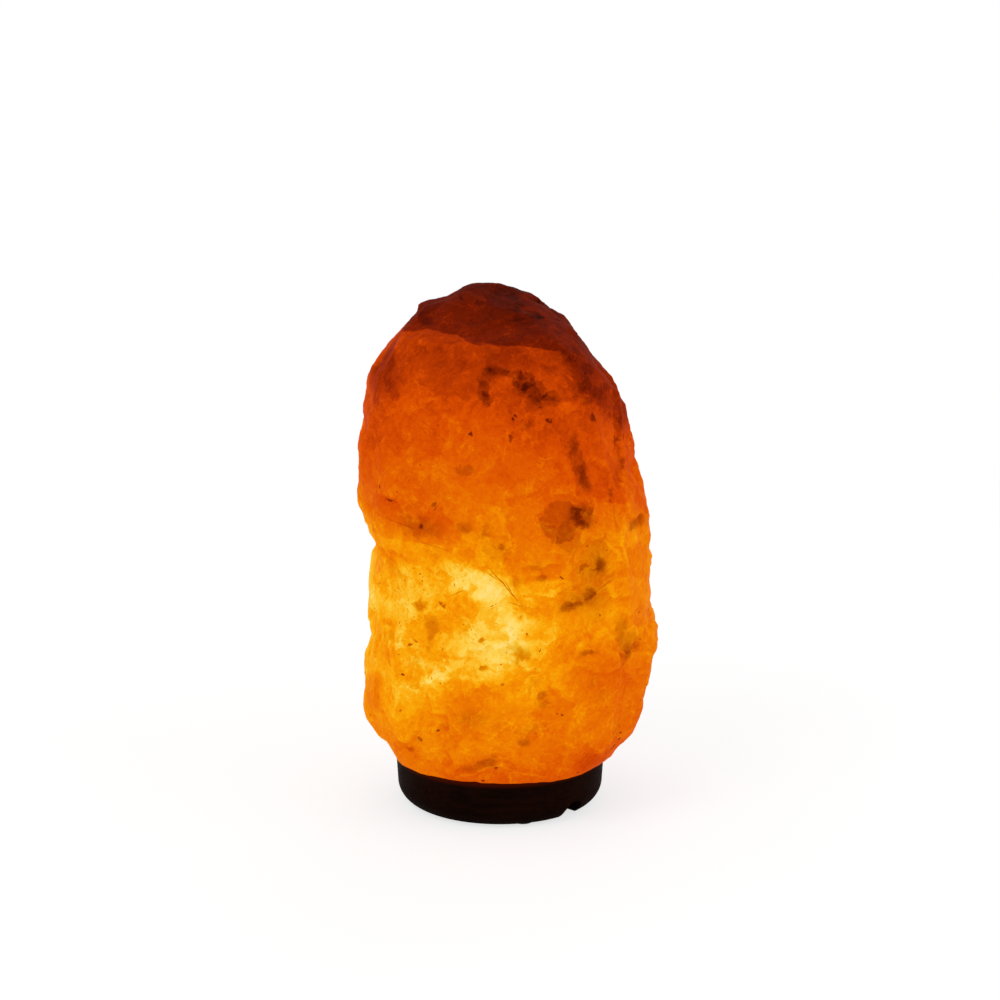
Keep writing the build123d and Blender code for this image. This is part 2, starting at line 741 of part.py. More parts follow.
ring_r = filament_ring_d / 2
with BuildPart() as filament:
    ring_plane = Plane.XZ.rotated((0, 0, filament_open_angle / 2))
    with BuildSketch(ring_plane):
        with Locations((ring_r, filament_z)):
            Circle(filament_wire_d / 2)
    revolve(axis=Axis.Z, revolution_arc=360 - filament_open_angle)
filament.part.label = "filament"

wire_foot_z = stem_top + wire_gap + lead_wire_d / 2
wire_head_z = filament_z - filament_wire_d / 2 - wire_gap - lead_wire_d / 2
with BuildPart() as filament_leads:
    for side in (-1, 1):
        x, y = on_circle(ring_r, side * filament_open_angle / 2)
        wire((lead_spread, side * lead_spread, wire_foot_z), (x, y, wire_head_z), lead_wire_d)
filament_leads.part.label = "filament_leads"

with BuildPart() as filament_supports:
    for number in range(support_count):
        angle = filament_open_angle + (360 - 2 * filament_open_angle) * number / (support_count - 1)
        x, y = on_circle(ring_r, angle)
        foot = on_circle(lead_spread, angle)
        wire((*foot, wire_foot_z), (x, y, wire_head_z), support_wire_d)
filament_supports.part.label = "filament_supports"

# ---- Write each piece -----------------------------------------------------------------
os.makedirs("parts", exist_ok=True)
export_step(salt_crystal.part, "parts/salt_crystal.step")
export_step(wooden_base.part, "parts/wooden_base.step")
export_step(base_screws.part, "parts/base_screws.step")
export_step(screw_anchors.part, "parts/screw_anchors.step")
export_step(rubber_feet.part, "parts/rubber_feet.step")
export_step(entry_nipple.part, "parts/entry_nipple.step")
export_step(nipple_nut.part, "parts/nipple_nut.step")
export_step(lock_washer.part, "parts/lock_washer.step")
export_step(clip_frame.part, "parts/clip_frame.step")
export_step(holder_cap.part, "parts/holder_cap.step")
export_step(contact_block.part, "parts/contact_block.step")
export_step(holder_sleeve.part, "parts/holder_sleeve.step")
export_step(screw_shell.part, "parts/screw_shell.step")
export_step(centre_contact.part, "parts/centre_contact.step")
export_step(terminal_screws.part, "parts/terminal_screws.step")
export_step(contact_rivets.part, "parts/contact_rivets.step")
export_step(bulb_contact.part, "parts/bulb_contact.step")
export_step(bulb_insulator.part, "parts/bulb_insulator.step")
export_step(bulb_cap.part, "parts/bulb_cap.step")
export_step(side_solder.part, "parts/side_solder.step")
export_step(bulb_cement.part, "parts/bulb_cement.step")
export_step(bulb_glass.part, "parts/bulb_glass.step")
export_step(bulb_stem.part, "parts/bulb_stem.step")
export_step(filament.part, "parts/filament.step")
export_step(filament_leads.part, "parts/filament_leads.step")
export_step(filament_supports.part, "parts/filament_supports.step")
for name, piece in {**clip_wings, **terminals}.items():
    export_step(piece, f"parts/{name}.step")
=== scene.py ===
"""Looks of the salt crystal lamp: hewn salt on a turned base, with its bulb and holder, on a pale stage.

Sizes in the property groups are millimetres, because that is how a lamp maker reads them. The frame and
every mesh are in metres. +Z is up and -Y is the front.
"""

from math import atan2, cos, hypot, pi, radians, sin

import bmesh
import bpy
import numpy as np
from mathutils import Matrix, Vector, kdtree, noise


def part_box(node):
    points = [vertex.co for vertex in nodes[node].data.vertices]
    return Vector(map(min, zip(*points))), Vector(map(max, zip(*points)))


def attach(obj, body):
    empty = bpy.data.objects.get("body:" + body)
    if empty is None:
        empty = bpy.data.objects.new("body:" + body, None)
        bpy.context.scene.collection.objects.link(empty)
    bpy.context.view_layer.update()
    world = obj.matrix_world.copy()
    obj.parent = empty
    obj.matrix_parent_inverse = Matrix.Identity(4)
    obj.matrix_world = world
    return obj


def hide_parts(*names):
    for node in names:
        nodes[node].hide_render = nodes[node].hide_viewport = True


bl_info = {
    "name": "Salt Crystal Lamp",
    "version": (1, 0, 0),
    "blender": (4, 5, 0),
    "location": "3D View > Sidebar > Salt Lamp",
    "description": "Dresses the packed lamp with hewn salt, wood, metal and glass, and lights it",
    "category": "Object",
}

MM = 0.001  # a millimetre, in metres
BLACK = (0.0, 0.0, 0.0)
WHITE = (1.0, 1.0, 1.0)
MIDDLE = (0.5, 0.5, 0.5)  # the middle of a random colour

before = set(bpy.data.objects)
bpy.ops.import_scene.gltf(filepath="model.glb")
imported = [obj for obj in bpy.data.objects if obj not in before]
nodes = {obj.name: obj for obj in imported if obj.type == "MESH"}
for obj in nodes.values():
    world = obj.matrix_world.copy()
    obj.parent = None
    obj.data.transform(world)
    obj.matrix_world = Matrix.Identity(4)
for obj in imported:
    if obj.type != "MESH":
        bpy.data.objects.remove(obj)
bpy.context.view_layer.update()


def srgb(red, green, blue):
    """A colour from 0-255 screen values to the linear values that shaders use."""
    shares = [value / 255 for value in (red, green, blue)]
    return tuple(s / 12.92 if s <= 0.04045 else ((s + 0.055) / 1.055) ** 2.4 for s in shares)


def span(node):
    """Lowest and highest corner of a CAD node, in millimetres."""
    low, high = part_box(node)
    return low / MM, high / MM


# ---- Shader expressions -----------------------------------------------------------------


class Wire:
    """A shader socket that works in Python expressions, each of which adds a node."""

    def __init__(self, finish, socket):
        self.finish = finish
        self.socket = socket

    def __add__(self, other):
        return join("ADD", self, other)

    def __radd__(self, other):
        return join("ADD", other, self)

    def __sub__(self, other):
        return join("SUBTRACT", self, other)

    def __rsub__(self, other):
        return join("SUBTRACT", other, self)

    def __mul__(self, other):
        return join("MULTIPLY", self, other)

    def __truediv__(self, other):
        return join("DIVIDE", self, other)

    def __abs__(self):
        return join("ABSOLUTE", self)


def join(operation, *values):
    """Math on numbers, or Vector Math where a value is a vector."""
    finish = next(value.finish for value in values if isinstance(value, Wire))
    vectors = [v for v in values if isinstance(v, tuple) or isinstance(v, Wire) and v.socket.type != "VALUE"]
    kind = "ShaderNodeVectorMath" if vectors else "ShaderNodeMath"
    return finish.node(kind, {"operation": operation}, dict(enumerate(values)))


def lesser(one, other):
    return join("MINIMUM", one, other)


def greater(one, other):
    return join("MAXIMUM", one, other)


def pick(sockets, key):
    """The socket at an index, or with an identifier or a name."""
    if isinstance(key, int):
        return sockets[key]
    return next(s for s in sockets if key in (s.identifier, s.name))


class Finish:
    """The nodes of one material, or of the room's light."""

    def __init__(self, owner):
        self.owner = owner
        owner.use_nodes = True
        self.tree = owner.node_tree
        self.tree.nodes.clear()

    def node(self, kind, settings=None, sockets=None, out=0):
        """Add a node: first its settings, then the values or links of its sockets."""
        made = self.tree.nodes.new(kind)
        for key, value in (settings or {}).items():
            if key == "stops":
                set_stops(made.color_ramp, value)
            else:
                setattr(made, key, value)
        for key, value in (sockets or {}).items():
            self.feed(pick(made.inputs, key), value)
        return Wire(self, pick(made.outputs, out)) if made.outputs else made

    def feed(self, socket, value):
        """Link a wire to a socket, or set the socket to a number, vector or colour."""
        if isinstance(value, Wire):
            self.tree.links.new(value.socket, socket)
        elif socket.type == "RGBA":
            socket.default_value = (*value, 1.0)
        elif socket.type == "VECTOR" and not isinstance(value, tuple):
            socket.default_value = (value, value, value)
        else:
            socket.default_value = value

    def place(self):
        """Where the shaded point is on the resting lamp, in millimetres."""
        return self.node("ShaderNodeTexCoord", out="Object") * (1 / MM)

    def axes(self, vector):
        """The three numbers of a vector."""
        parts = self.node("ShaderNodeSeparateXYZ", None, {0: vector}).socket.node
        return [Wire(self, output) for output in parts.outputs]

    def cloud(self, where, size, detail=2.0, roughness=0.5):
        """Soft noise around 0, mostly from -0.3 to 0.3, with lumps of about a size."""
        sockets = {"Vector": where, "Scale": 1 / size, "Detail": detail, "Roughness": roughness}
        return self.node("ShaderNodeTexNoise", None, sockets) - 0.5

    def drift(self, where, size, reach):
        """The same place, pushed about by up to a reach, to tear the edges of a pattern."""
        sockets = {"Vector": where, "Scale": 1 / size, "Detail": 3.0}
        push = self.node("ShaderNodeTexNoise", None, sockets, "Color")
        return where + (push - MIDDLE) * (2 * reach)

    def cells(self, where, size, out="Distance", feature="F1"):
        """Cells of about a size: how far their middle or edge is, or their own random colour."""
        sockets = {"Vector": where, "Scale": 1 / size}
        return self.node("ShaderNodeTexVoronoi", {"feature": feature}, sockets, out)

    def chance(self, where, size):
        """A random number from -0.5 to 0.5 for each cell."""
        return self.axes(self.cells(where, size, "Color"))[0] - 0.5

    def turned(self, where, degrees):
        """The place, turned about the Y axis, to slant a pattern on the front."""
        sockets = {"Vector": where, "Angle": radians(degrees)}
        return self.node("ShaderNodeVectorRotate", {"rotation_type": "Y_AXIS"}, sockets)

    def ease(self, value, low, high):
        """0 below a low value and 1 above a high one, with a smooth step between them."""
        settings = {"interpolation_type": "SMOOTHSTEP"}
        return self.node("ShaderNodeMapRange", settings, {"Value": value, 1: low, 2: high})

    def length(self, vector):
        return self.node("ShaderNodeVectorMath", {"operation": "LENGTH"}, {0: vector}, "Value")

    def reach(self, place):
        """How far a place is from the lamp's upright axis."""
        return self.length(place * (1.0, 1.0, 0.0))

    def spots(self, where, size, radius, share):
        """1 inside small round spots, in a share of cells of a size, and 0 elsewhere."""
        grown = (share - 0.5 - self.chance(where, size)) * (radius / size / share)
        return 1 - self.ease(self.cells(where, size) - grown, -0.35 * radius / size, 0.1 * radius / size)

    def ramp(self, value, stops):
        """A colour or grey picked by a value, from (position, colour) stops."""
        return self.node("ShaderNodeValToRGB", {"stops": stops}, {0: value}, "Color")

    def blend(self, first, second, factor, kind="MIX"):
        """The first colour, mixed towards the second by a factor."""
        settings = {"data_type": "RGBA", "blend_type": kind, "clamp_factor": True}
        sockets = {"Factor_Float": factor, "A_Color": first, "B_Color": second}
        return self.node("ShaderNodeMix", settings, sockets, "Result_Color")

    def relief(self, height, strength):
        """The normal of a surface that stands up by a height in millimetres."""
        return self.node("ShaderNodeBump", None, {"Strength": strength, "Distance": MM, "Height": height})

    def close(self, shader, kind="ShaderNodeOutputMaterial"):
        """End the nodes at the surface, and give back the material or the world."""
        self.node(kind, None, {"Surface": shader})
        return self.owner

    def surface(self, sockets):
        """End the nodes at one principled surface."""
        return self.close(self.node("ShaderNodeBsdfPrincipled", None, sockets))


def new_finish(name):
    return Finish(bpy.data.materials.new(name + "_finish"))


def set_stops(ramp, stops):
    """Give a colour ramp its (position, colour or grey) stops."""
    while len(ramp.elements) < len(stops):
        ramp.elements.new(1.0)
    for element, (position, colour) in zip(ramp.elements, stops):
        element.position = position
        element.color = (*colour, 1.0) if isinstance(colour, tuple) else (colour, colour, colour, 1.0)


def add(name, data):
    """A new object in the scene."""
    made = bpy.data.objects.new(name, data)
    bpy.context.scene.collection.objects.link(made)
    return made


def dress(piece, material):
    """Give every material slot of a piece one material."""
    if not piece.data.materials:
        piece.data.materials.append(material)
    for slot in piece.material_slots:
        slot.material = material


def show(name, mesh, body, slot, material, *replaced):
    """Put a finished mesh on a body, in the place of the CAD nodes that it stands for."""
    piece = add(name, mesh)
    dress(piece, material)
    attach(piece, body)
    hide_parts(*replaced)
    return piece


# ---- Settings ---------------------------------------------------------------------------


def amount_setting(name, description, default):
    return bpy.props.FloatProperty(name=name, description=description, default=default, min=0.0)


def share_setting(name, description, default):
    return bpy.props.FloatProperty(name=name, description=description, default=default, min=0.0, max=1.0)


def angle_setting(name, description, degrees):
    angle = radians(degrees)
    return bpy.props.FloatProperty(name=name, description=description, default=angle, subtype="ANGLE")


def colour_setting(name, description, default):
    return bpy.props.FloatVectorProperty(
        name=name, description=description, default=default, subtype="COLOR", size=3, min=0.0, max=1.0
    )


class LampSaltSettings(bpy.types.PropertyGroup):
    """The hewn salt block."""

    mesh_step: amount_setting("Mesh step", "Edge length of the even mesh, in millimetres", 1.25)
    chip_size: amount_setting("Chip size", "Width of a hewn chip, in millimetres", 19.0)
    chip_depth: amount_setting("Chip depth", "How deep the chips are cut, in millimetres", 0.5)
    chip_hollow: amount_setting("Chip hollow", "How far a chip is dished, in millimetres", 0.35)
    swell: amount_setting("Swell", "Height of the broad waves, in millimetres", 0.5)
    grit: amount_setting("Grit", "Height of the fine roughness, in millimetres", 0.12)
    roughness: share_setting("Roughness", "Roughness of the satin surface", 0.6)
    glow: share_setting("Glow", "Share of the colour that shines from inside", 0.88)
    # Skin scales the glow's colour into the base colour, so the bulb's light and shade are painted into the
    # surface colour.
    skin: share_setting("Skin", "Share of the outside light that comes back", 0.13)
    milk: colour_setting("Milky salt", "Colour of the cloudy pale zones", srgb(250, 205, 112))
    stain: colour_setting("Stain", "Colour that an inclusion lets through", (0.27, 0.22, 0.05))


class LampWoodSettings(bpy.types.PropertyGroup):
    """The turned base."""

    dark: colour_setting("Dark wood", "Colour of the dark grain", srgb(11, 3, 1))
    light: colour_setting("Light wood", "Colour of the lighter grain", srgb(23, 6, 1))
    # Painted light: the salt's light on the upper rim, drawn as the wood's own glow.
    painted_salt_light: colour_setting("Warmth", "Salt light that the upper rim gives back", srgb(58, 8, 1))
    roughness: share_setting("Roughness", "Roughness of the oiled wood", 0.55)


class LampBulbSettings(bpy.types.PropertyGroup):
    """The bulb, its thread and its filament."""

    thread_pitch: amount_setting("Thread pitch", "Rise of the thread in one turn, in millimetres", 2.822)
    thread_depth: amount_setting("Thread depth", "How deep the cap's thread is pressed, in millimetres", 0.75)
    shell_depth: amount_setting("Shell depth", "How far the holder's thread stands in, in millimetres", 0.65)
    coil_pitch: amount_setting("Coil pitch", "Rise of one turn of the filament, in millimetres", 0.24)
    coil_wire: amount_setting("Coil wire", "Thickness of the filament's wire, in millimetres", 0.11)


class LampStageSettings(bpy.types.PropertyGroup):
    """Camera, floor and lights."""

    camera_distance: amount_setting("Camera distance", "Camera to the lamp's foot, in millimetres", 1200.0)
    camera_rise: angle_setting("Camera rise", "Camera above the table", 19.5)
    camera_tilt: angle_setting("Camera tilt", "Camera's look below level", 12.66)
    camera_lens: bpy.props.FloatProperty(
        name="Lens", description="Focal length", default=88.56, unit="CAMERA"
    )
    key_strength: amount_setting("Key light", "Power of the key light, in watts", 9.0)
    fill_strength: amount_setting("Fill light", "Power of the fill light, in watts", 4.0)
    room_level: amount_setting("Room light", "Level of the light from all round", 0.9)


# ---- Salt -------------------------------------------------------------------------------

# How warm the salt glows by its height above the table: (height in mm, heat)
HEAT_BY_HEIGHT = (
    (23, 0.60), (32, 0.67), (42, 0.71), (56, 0.75), (70, 0.81), (86, 0.87), (104, 0.89), (122, 0.85),
    (137, 0.79), (148, 0.72), (160, 0.66), (180, 0.59), (196, 0.54), (208, 0.49), (222, 0.42), (247, 0.27),
)
HEAT_SPAN = 1.25  # the heat that the last colour stands for
HEAT_COLOURS = (
    (0.00, srgb(28, 7, 3)),
    (0.12, srgb(82, 17, 3)),
    (0.24, srgb(113, 25, 1)),
    (0.34, srgb(146, 38, 1)),
    (0.46, srgb(184, 57, 1)),
    (0.56, srgb(212, 74, 1)),
    (0.66, srgb(223, 92, 1)),
    (0.76, srgb(233, 116, 1)),
    (0.86, srgb(244, 143, 2)),
    (0.94, srgb(248, 166, 8)),
    (1.02, srgb(250, 190, 44)),
    (1.10, srgb(252, 212, 84)),
    (1.25, srgb(255, 238, 158)),
)
# Clear and cloudy zones in the front of the block, and dim zones 46 mm or more left of the middle that paint
# the shade of the left edge:
# across and up from the middle of the table, half length, half height (all in mm), roll in degrees, change of
# heat, softness of the edge.
SALT_ZONES = (
    (-4, 96, 17, 14, 30, 0.17, 0.5),
    (5, 86, 13, 8, 0, 0.09, 0.5),
    (-18, 79, 20, 5, -8, 0.13, 0.4),
    (-10, 121, 17, 6, -15, 0.15, 0.5),
    (2, 109, 5, 13, 36, 0.10, 0.4),
    (17, 117, 9, 3, 15, 0.09, 0.5),
    (14, 97, 11, 10, 0, 0.08, 0.12),
    (-36, 152, 20, 13, 0, -0.08, 0.6),
    (-62, 182, 9, 34, 8, -0.10, 0.7),
    (-55, 211, 8, 16, 20, -0.17, 0.6),
    (34, 207, 7, 8, 0, -0.10, 0.6),
    (4, 214, 5, 4, 0, 0.06, 0.6),
    (-22, 197, 22, 8, 0, 0.05, 0.6),
    (-15, 119, 9, 7, 0, 0.10, 0.5),
    (-53, 120, 7, 13, 0, -0.09, 0.6),
    (-46, 131, 8, 6, 0, -0.08, 0.6),
    (-54, 87, 6, 13, 0, -0.07, 0.6),
    (-59, 62, 5, 10, 0, -0.10, 0.6),
    (49, 130, 14, 27, 0, 0.06, 0.7),
    (33, 90, 9, 6, 0, -0.07, 0.5),
    (10, 72, 18, 6, 0, 0.06, 0.6),
    (22, 49, 20, 12, 0, 0.06, 0.7),
    (-4, 38, 22, 8, 0, 0.05, 0.6),
    (43, 33, 6, 5, 0, -0.12, 0.6),
    (-43, 35, 6, 5, 0, -0.08, 0.6),
    (48, 78, 18, 13, 0, -0.10, 0.6),
    (-34, 92, 9, 15, -10, -0.06, 0.3),
    (-22, 102, 10, 7, 25, -0.04, 0.3),
    (27, 148, 10, 9.5, 20, -0.01, 0.05),
    (-20, 208, 30, 16, 0, -0.04, 0.8),
    (5, 100, 10, 12, 0, -0.04, 0.6),
    (-53, 85, 7, 14, 0, -0.04, 0.6),
    (46, 154, 10, 12, 0, -0.06, 0.6),
    (22, 126, 20, 9, -10, -0.04, 0.5),
    (62, 108, 8, 16, 0, -0.04, 0.3),
    (-20, 158, 13, 9, 15, 0.03, 0.3),
    (5, 158, 14, 8, -12, 0.05, 0.4),
    (-48, 176, 9, 12, 20, -0.04, 0.3),
    (14, 190, 12, 6, -5, -0.03, 0.15),
    (-4, 33, 17, 5, 0, -0.05, 0.08),
)
# The lower edge of the dark cap and shoulder, from left to right: (x, z)
CAP_EDGE = ((-46, 228.5), (-32, 231), (-19, 229.5), (-11, 226.8), (11, 225.4), (27, 222.8), (31, 217),
            (40, 203.5), (47, 192.5), (58, 184))
# Bright cleavage lines, with the same measures as the zones.
SALT_LINES = (
    (2, 181, 0.4, 5, 0, 0.07, 0.8),
    (25, 100, 0.8, 10, 0, 0.07, 0.8),
    (-34, 78, 7, 0.9, -42, 0.08, 0.8),
    (-31, 74, 5, 0.7, -49, 0.07, 0.8),
    (-50, 84, 0.7, 14, 12, 0.07, 0.8),
    (-48, 62, 0.8, 12, -18, 0.06, 0.8),
    (52, 134, 0.8, 7, 35, 0.11, 0.8),
    (57, 131, 0.7, 6, 22, 0.10, 0.8),
    (62, 138, 0.7, 5, 14, 0.10, 0.8),
    (47, 118, 6, 0.8, 35, 0.08, 0.8),
    (24, 117, 6, 1.2, 20, 0.12, 0.7),
    (26, 121, 5, 0.9, 8, 0.09, 0.7),
    (-12, 29.5, 10, 0.6, 18, 0.08, 0.8),
    (10, 30, 12, 0.6, -14, 0.08, 0.8),
    (56, 162, 0.8, 8, 18, 0.10, 0.8),
)
# Dark hairline scratches, with their depth of colour in place of a heat.
SALT_SCRATCHES = (
    (-36, 190, 9, 0.26, -41, 0.20, 0.9),
    (-30, 189, 12, 0.22, -38, 0.15, 0.9),
    (-28, 181, 5, 0.26, -43, 0.17, 0.9),
    (1, 121, 9, 0.24, -50, 0.34, 0.9),
    (5, 117, 5, 0.20, -57, 0.30, 0.9),
    (-3, 124, 4, 0.20, -38, 0.26, 0.9),
    (7, 111, 3, 0.20, -15, 0.24, 0.9),
    (-19, 116, 4, 0.22, 25, 0.22, 0.9),
    (30, 119, 4, 0.22, 40, 0.22, 0.9),
    (47, 118, 7, 0.24, 33, 0.24, 0.9),
    (-46, 146, 9, 0.26, -12, 0.24, 0.9),
    (52, 149, 0.3, 6, 5, 0.22, 0.9),
    (-30, 137, 7, 0.24, -14, 0.28, 0.9),
)
# Brown and black inclusions, with the same measures, and their depth of colour in place of a heat.
SALT_STAINS = (
    # a smear below the cap and the leaf beside it
    (-2, 214.5, 5.5, 3.0, 0, 0.55, 0.5),
    (-6, 211.5, 4.0, 3.6, 20, 0.30, 0.5),
    (-7.5, 206.5, 2.4, 4.6, 10, 0.40, 0.3),
    (-6.0, 203.0, 1.6, 4.0, 0, 0.35, 0.3),
    (6, 213, 5, 1.8, -15, 0.40, 0.4),
    (16.5, 204, 10.5, 3.4, -22, 0.26, 0.15),
    (11, 209.5, 4.6, 3.4, -20, 0.38, 0.12),
    (16, 206.2, 6.5, 3.6, -12, 0.30, 0.12),
    (15, 201, 4.5, 3.6, 10, 0.22, 0.12),
    (23, 203.6, 4.2, 2.4, -8, 0.34, 0.12),
    (-4, 221, 2.6, 6, 0, 0.22, 0.7),
    (-16, 217, 5, 2.5, 0, 0.15, 0.6),
    # the cap
    (-18, 242.5, 1.1, 0.9, 0, 0.75, 0.4),
    (10, 241, 3.6, 1.6, 10, 0.42, 0.6),
    (-35, 235, 3.2, 2.2, 0, 0.38, 0.6),
    (17, 236.5, 2.6, 0.9, 15, 0.38, 0.5),
    # the right shoulder
    (31, 221, 5, 4, 0, 0.25, 0.7),
    (37, 208, 3.5, 3, 0, 0.28, 0.7),
    (43, 203, 4.5, 2.4, 15, 0.32, 0.6),
    (41, 194, 1.6, 1.6, 0, 0.60, 0.5),
    (55, 189, 1.2, 5, 0, 0.34, 0.5),
    # specks of the upper half
    (4.7, 197, 0.7, 0.7, 0, 0.80, 0.4),
    (12, 191.5, 3.4, 2.2, 15, 0.30, 0.7),
    (23.5, 194.5, 0.8, 1.0, 20, 0.75, 0.4),
    (-12.5, 187.5, 1.3, 1.0, -20, 0.80, 0.4),
    (3.5, 185.5, 0.9, 1.4, 10, 0.65, 0.5),
    (-15, 173.5, 4.2, 2.8, 25, 0.28, 0.2),
    (-50, 157, 1.9, 0.8, 10, 0.75, 0.4),
    (-28.5, 154, 1.4, 0.9, 15, 0.60, 0.4),
    # a smear above the break at the left
    (-36, 146, 8, 3.4, -15, 0.34, 0.6),
    (-35.5, 145.5, 1.3, 1.0, 0, 0.70, 0.5),
    (-16, 147.5, 3.2, 2.4, 0, 0.32, 0.6),
    (-6.5, 145.5, 2.4, 2.6, 0, 0.20, 0.6),
    (1, 138, 1.6, 1.3, 0, 0.40, 0.5),
    # the streak down the right
    (33, 182, 3.0, 6, 8, 0.30, 0.3),
    (35.5, 174, 2.8, 8, 14, 0.30, 0.3),
    (37.5, 167.5, 3.4, 4.5, 0, 0.48, 0.6),
    (55, 179.5, 1.6, 1.8, 0, 0.55, 0.5),
    (54.5, 169, 2.2, 7.5, -6, 0.26, 0.6),
    (48.5, 158.5, 1.5, 1.9, 0, 0.42, 0.5),
    # the hexagonal inclusion and what trails below it
    (36, 151.5, 4.4, 5.2, 30, 0.62, 0.6),
    (37, 147, 2.2, 2.4, 0, 0.30, 0.5),
    (41, 153.5, 1.4, 1.8, 0, 0.40, 0.5),
    (27, 149, 9.5, 8.5, 20, 0.30, 0.06),
    (31, 143.5, 6.5, 7, -15, 0.19, 0.06),
    (63, 142.5, 4.4, 3, 25, 0.48, 0.5),
    (44.5, 128, 3.6, 4.2, 0, 0.52, 0.5),
    (40, 116, 2.6, 2.6, 0, 0.40, 0.5),
    (41, 122, 8, 17, 0, 0.22, 0.6),
    (44, 133, 4, 10, -10, 0.12, 0.6),
    (34, 112, 9, 5, 10, 0.14, 0.5),
    (30.5, 110, 3.8, 2.5, 20, 0.42, 0.5),
    (35.5, 110.5, 3.4, 2.2, 0, 0.38, 0.5),
    (55, 95.5, 2.4, 6, 0, 0.30, 0.6),
    (40, 90, 3.4, 1.7, 0, 0.42, 0.5),
    (60, 86, 3.6, 3.4, 30, 0.40, 0.6),
    (58, 83, 4.4, 3.2, 10, 0.22, 0.2),
    (59, 92, 4, 3.4, 35, 0.16, 0.3),
    # the bright middle
    (-7.5, 96.5, 1.4, 1.6, 0, 0.34, 0.5),
    (9, 89.5, 5, 3.6, -20, 0.28, 0.6),
    (-31.5, 97, 2.2, 6, 0, 0.26, 0.6),
    (-35.5, 109, 2.6, 2.8, 0, 0.30, 0.6),
    (-26.5, 109.5, 0.7, 1.4, 0, 0.42, 0.4),
    (-39.5, 90.5, 1.2, 0.6, 10, 0.42, 0.4),
    (17.5, 122, 2.0, 1.5, 20, 0.38, 0.6),
    (16.5, 129.5, 3.4, 1.8, 0, 0.20, 0.6),
    (6.5, 120.5, 2.8, 2.4, 0, 0.20, 0.6),
    (35.5, 126.5, 1.7, 1.4, 0, 0.42, 0.5),
    # the lower third
    (-6.5, 81.5, 2.2, 1.8, 0, 0.28, 0.6),
    (1, 72, 1.3, 0.9, 0, 0.42, 0.5),
    (19.5, 69, 1.6, 2.0, 0, 0.38, 0.6),
    (22, 64.5, 1.8, 2.2, 20, 0.28, 0.6),
    (-14.5, 58, 5.5, 4.5, 0, 0.16, 0.7),
    (-37, 46, 1.0, 0.9, 0, 0.65, 0.4),
    (-42, 37.5, 1.8, 1.4, 0, 0.32, 0.6),
    (11, 46.5, 1.9, 2.4, 10, 0.36, 0.6),
    (-6.5, 34.5, 3.6, 2.4, 0, 0.44, 0.6),
    (-13.5, 33, 3.6, 2.0, 0, 0.28, 0.6),
    (-2, 32, 1.1, 0.9, 0, 0.65, 0.4),
    (55, 40.5, 1.1, 0.9, 0, 0.65, 0.4),
    (50.5, 36.5, 1.1, 1.4, 0, 0.80, 0.4),
)


def patches(finish, torn, rows):
    """The sum of soft or crisp ellipses on the front of the block, each with its own depth."""
    flat = torn * (1.0, 0.0, 1.0)
    leaning = {roll: finish.turned(flat, roll) for roll in sorted({row[4] for row in rows})}
    total = 0.0
    for across, up, half_length, half_height, roll, depth, softness in rows:
        middle = Matrix.Rotation(radians(roll), 3, "Y") @ Vector((across, 0.0, up))
        scale = (1 / half_length, 1.0, 1 / half_height)
        offset = (-middle.x / half_length, 0.0, -middle.z / half_height)
        reach = finish.length(join("MULTIPLY_ADD", leaning[roll], scale, offset))
        sockets = {"Value": reach, 1: 1 - softness, 2: 1 + softness, 3: depth, 4: 0.0}
        total = finish.node("ShaderNodeMapRange", {"interpolation_type": "SMOOTHSTEP"}, sockets) + total
    return total


# Frayed edges: the share of a height that comes from the torn place.
FRAYED_LEVELS = 0.2
FRAYED_CAP = 0.3
FRAYED_BREAK = 0.4

COOLER_TO_RIGHT = 0.0010  # heat lost in each mm
CAP_DARKER = 0.16  # heat lost in the cap
CAP_CRISP = 0.4  # half width of the cap's edge, in mm
SHOULDER = (24.0, 34.0)  # where that edge turns soft, in mm right of the middle
SHOULDER_SOFT = 6.0  # how much softer it gets, in mm
BACK_EDGE = (5.0, 40.0)  # where the cap's edge turns ragged, in mm behind the middle
BACK_TONGUE = 30.0  # width of its tongues there, in mm
BACK_REACH = 60.0  # how far they reach, in mm for each unit of noise
BREAK_HEIGHT = 138.5  # height of the break at the left front, in mm
BREAK_START = 45.0  # where it has that height, in mm left of the middle
BREAK_FALL = 0.03  # how much it falls in each mm to the right
BREAK_END = (22.0, 30.0)  # where it fades out, in mm left of the middle
BREAK_EDGE = 0.5  # half width of its edge, in mm
BREAK_BRIGHTER = 0.06  # heat gained below it


def frayed(level, torn_level, share):
    """A height with a share of the torn one, which frays any edge that is drawn at it."""
    return level * (1 - share) + torn_level * share


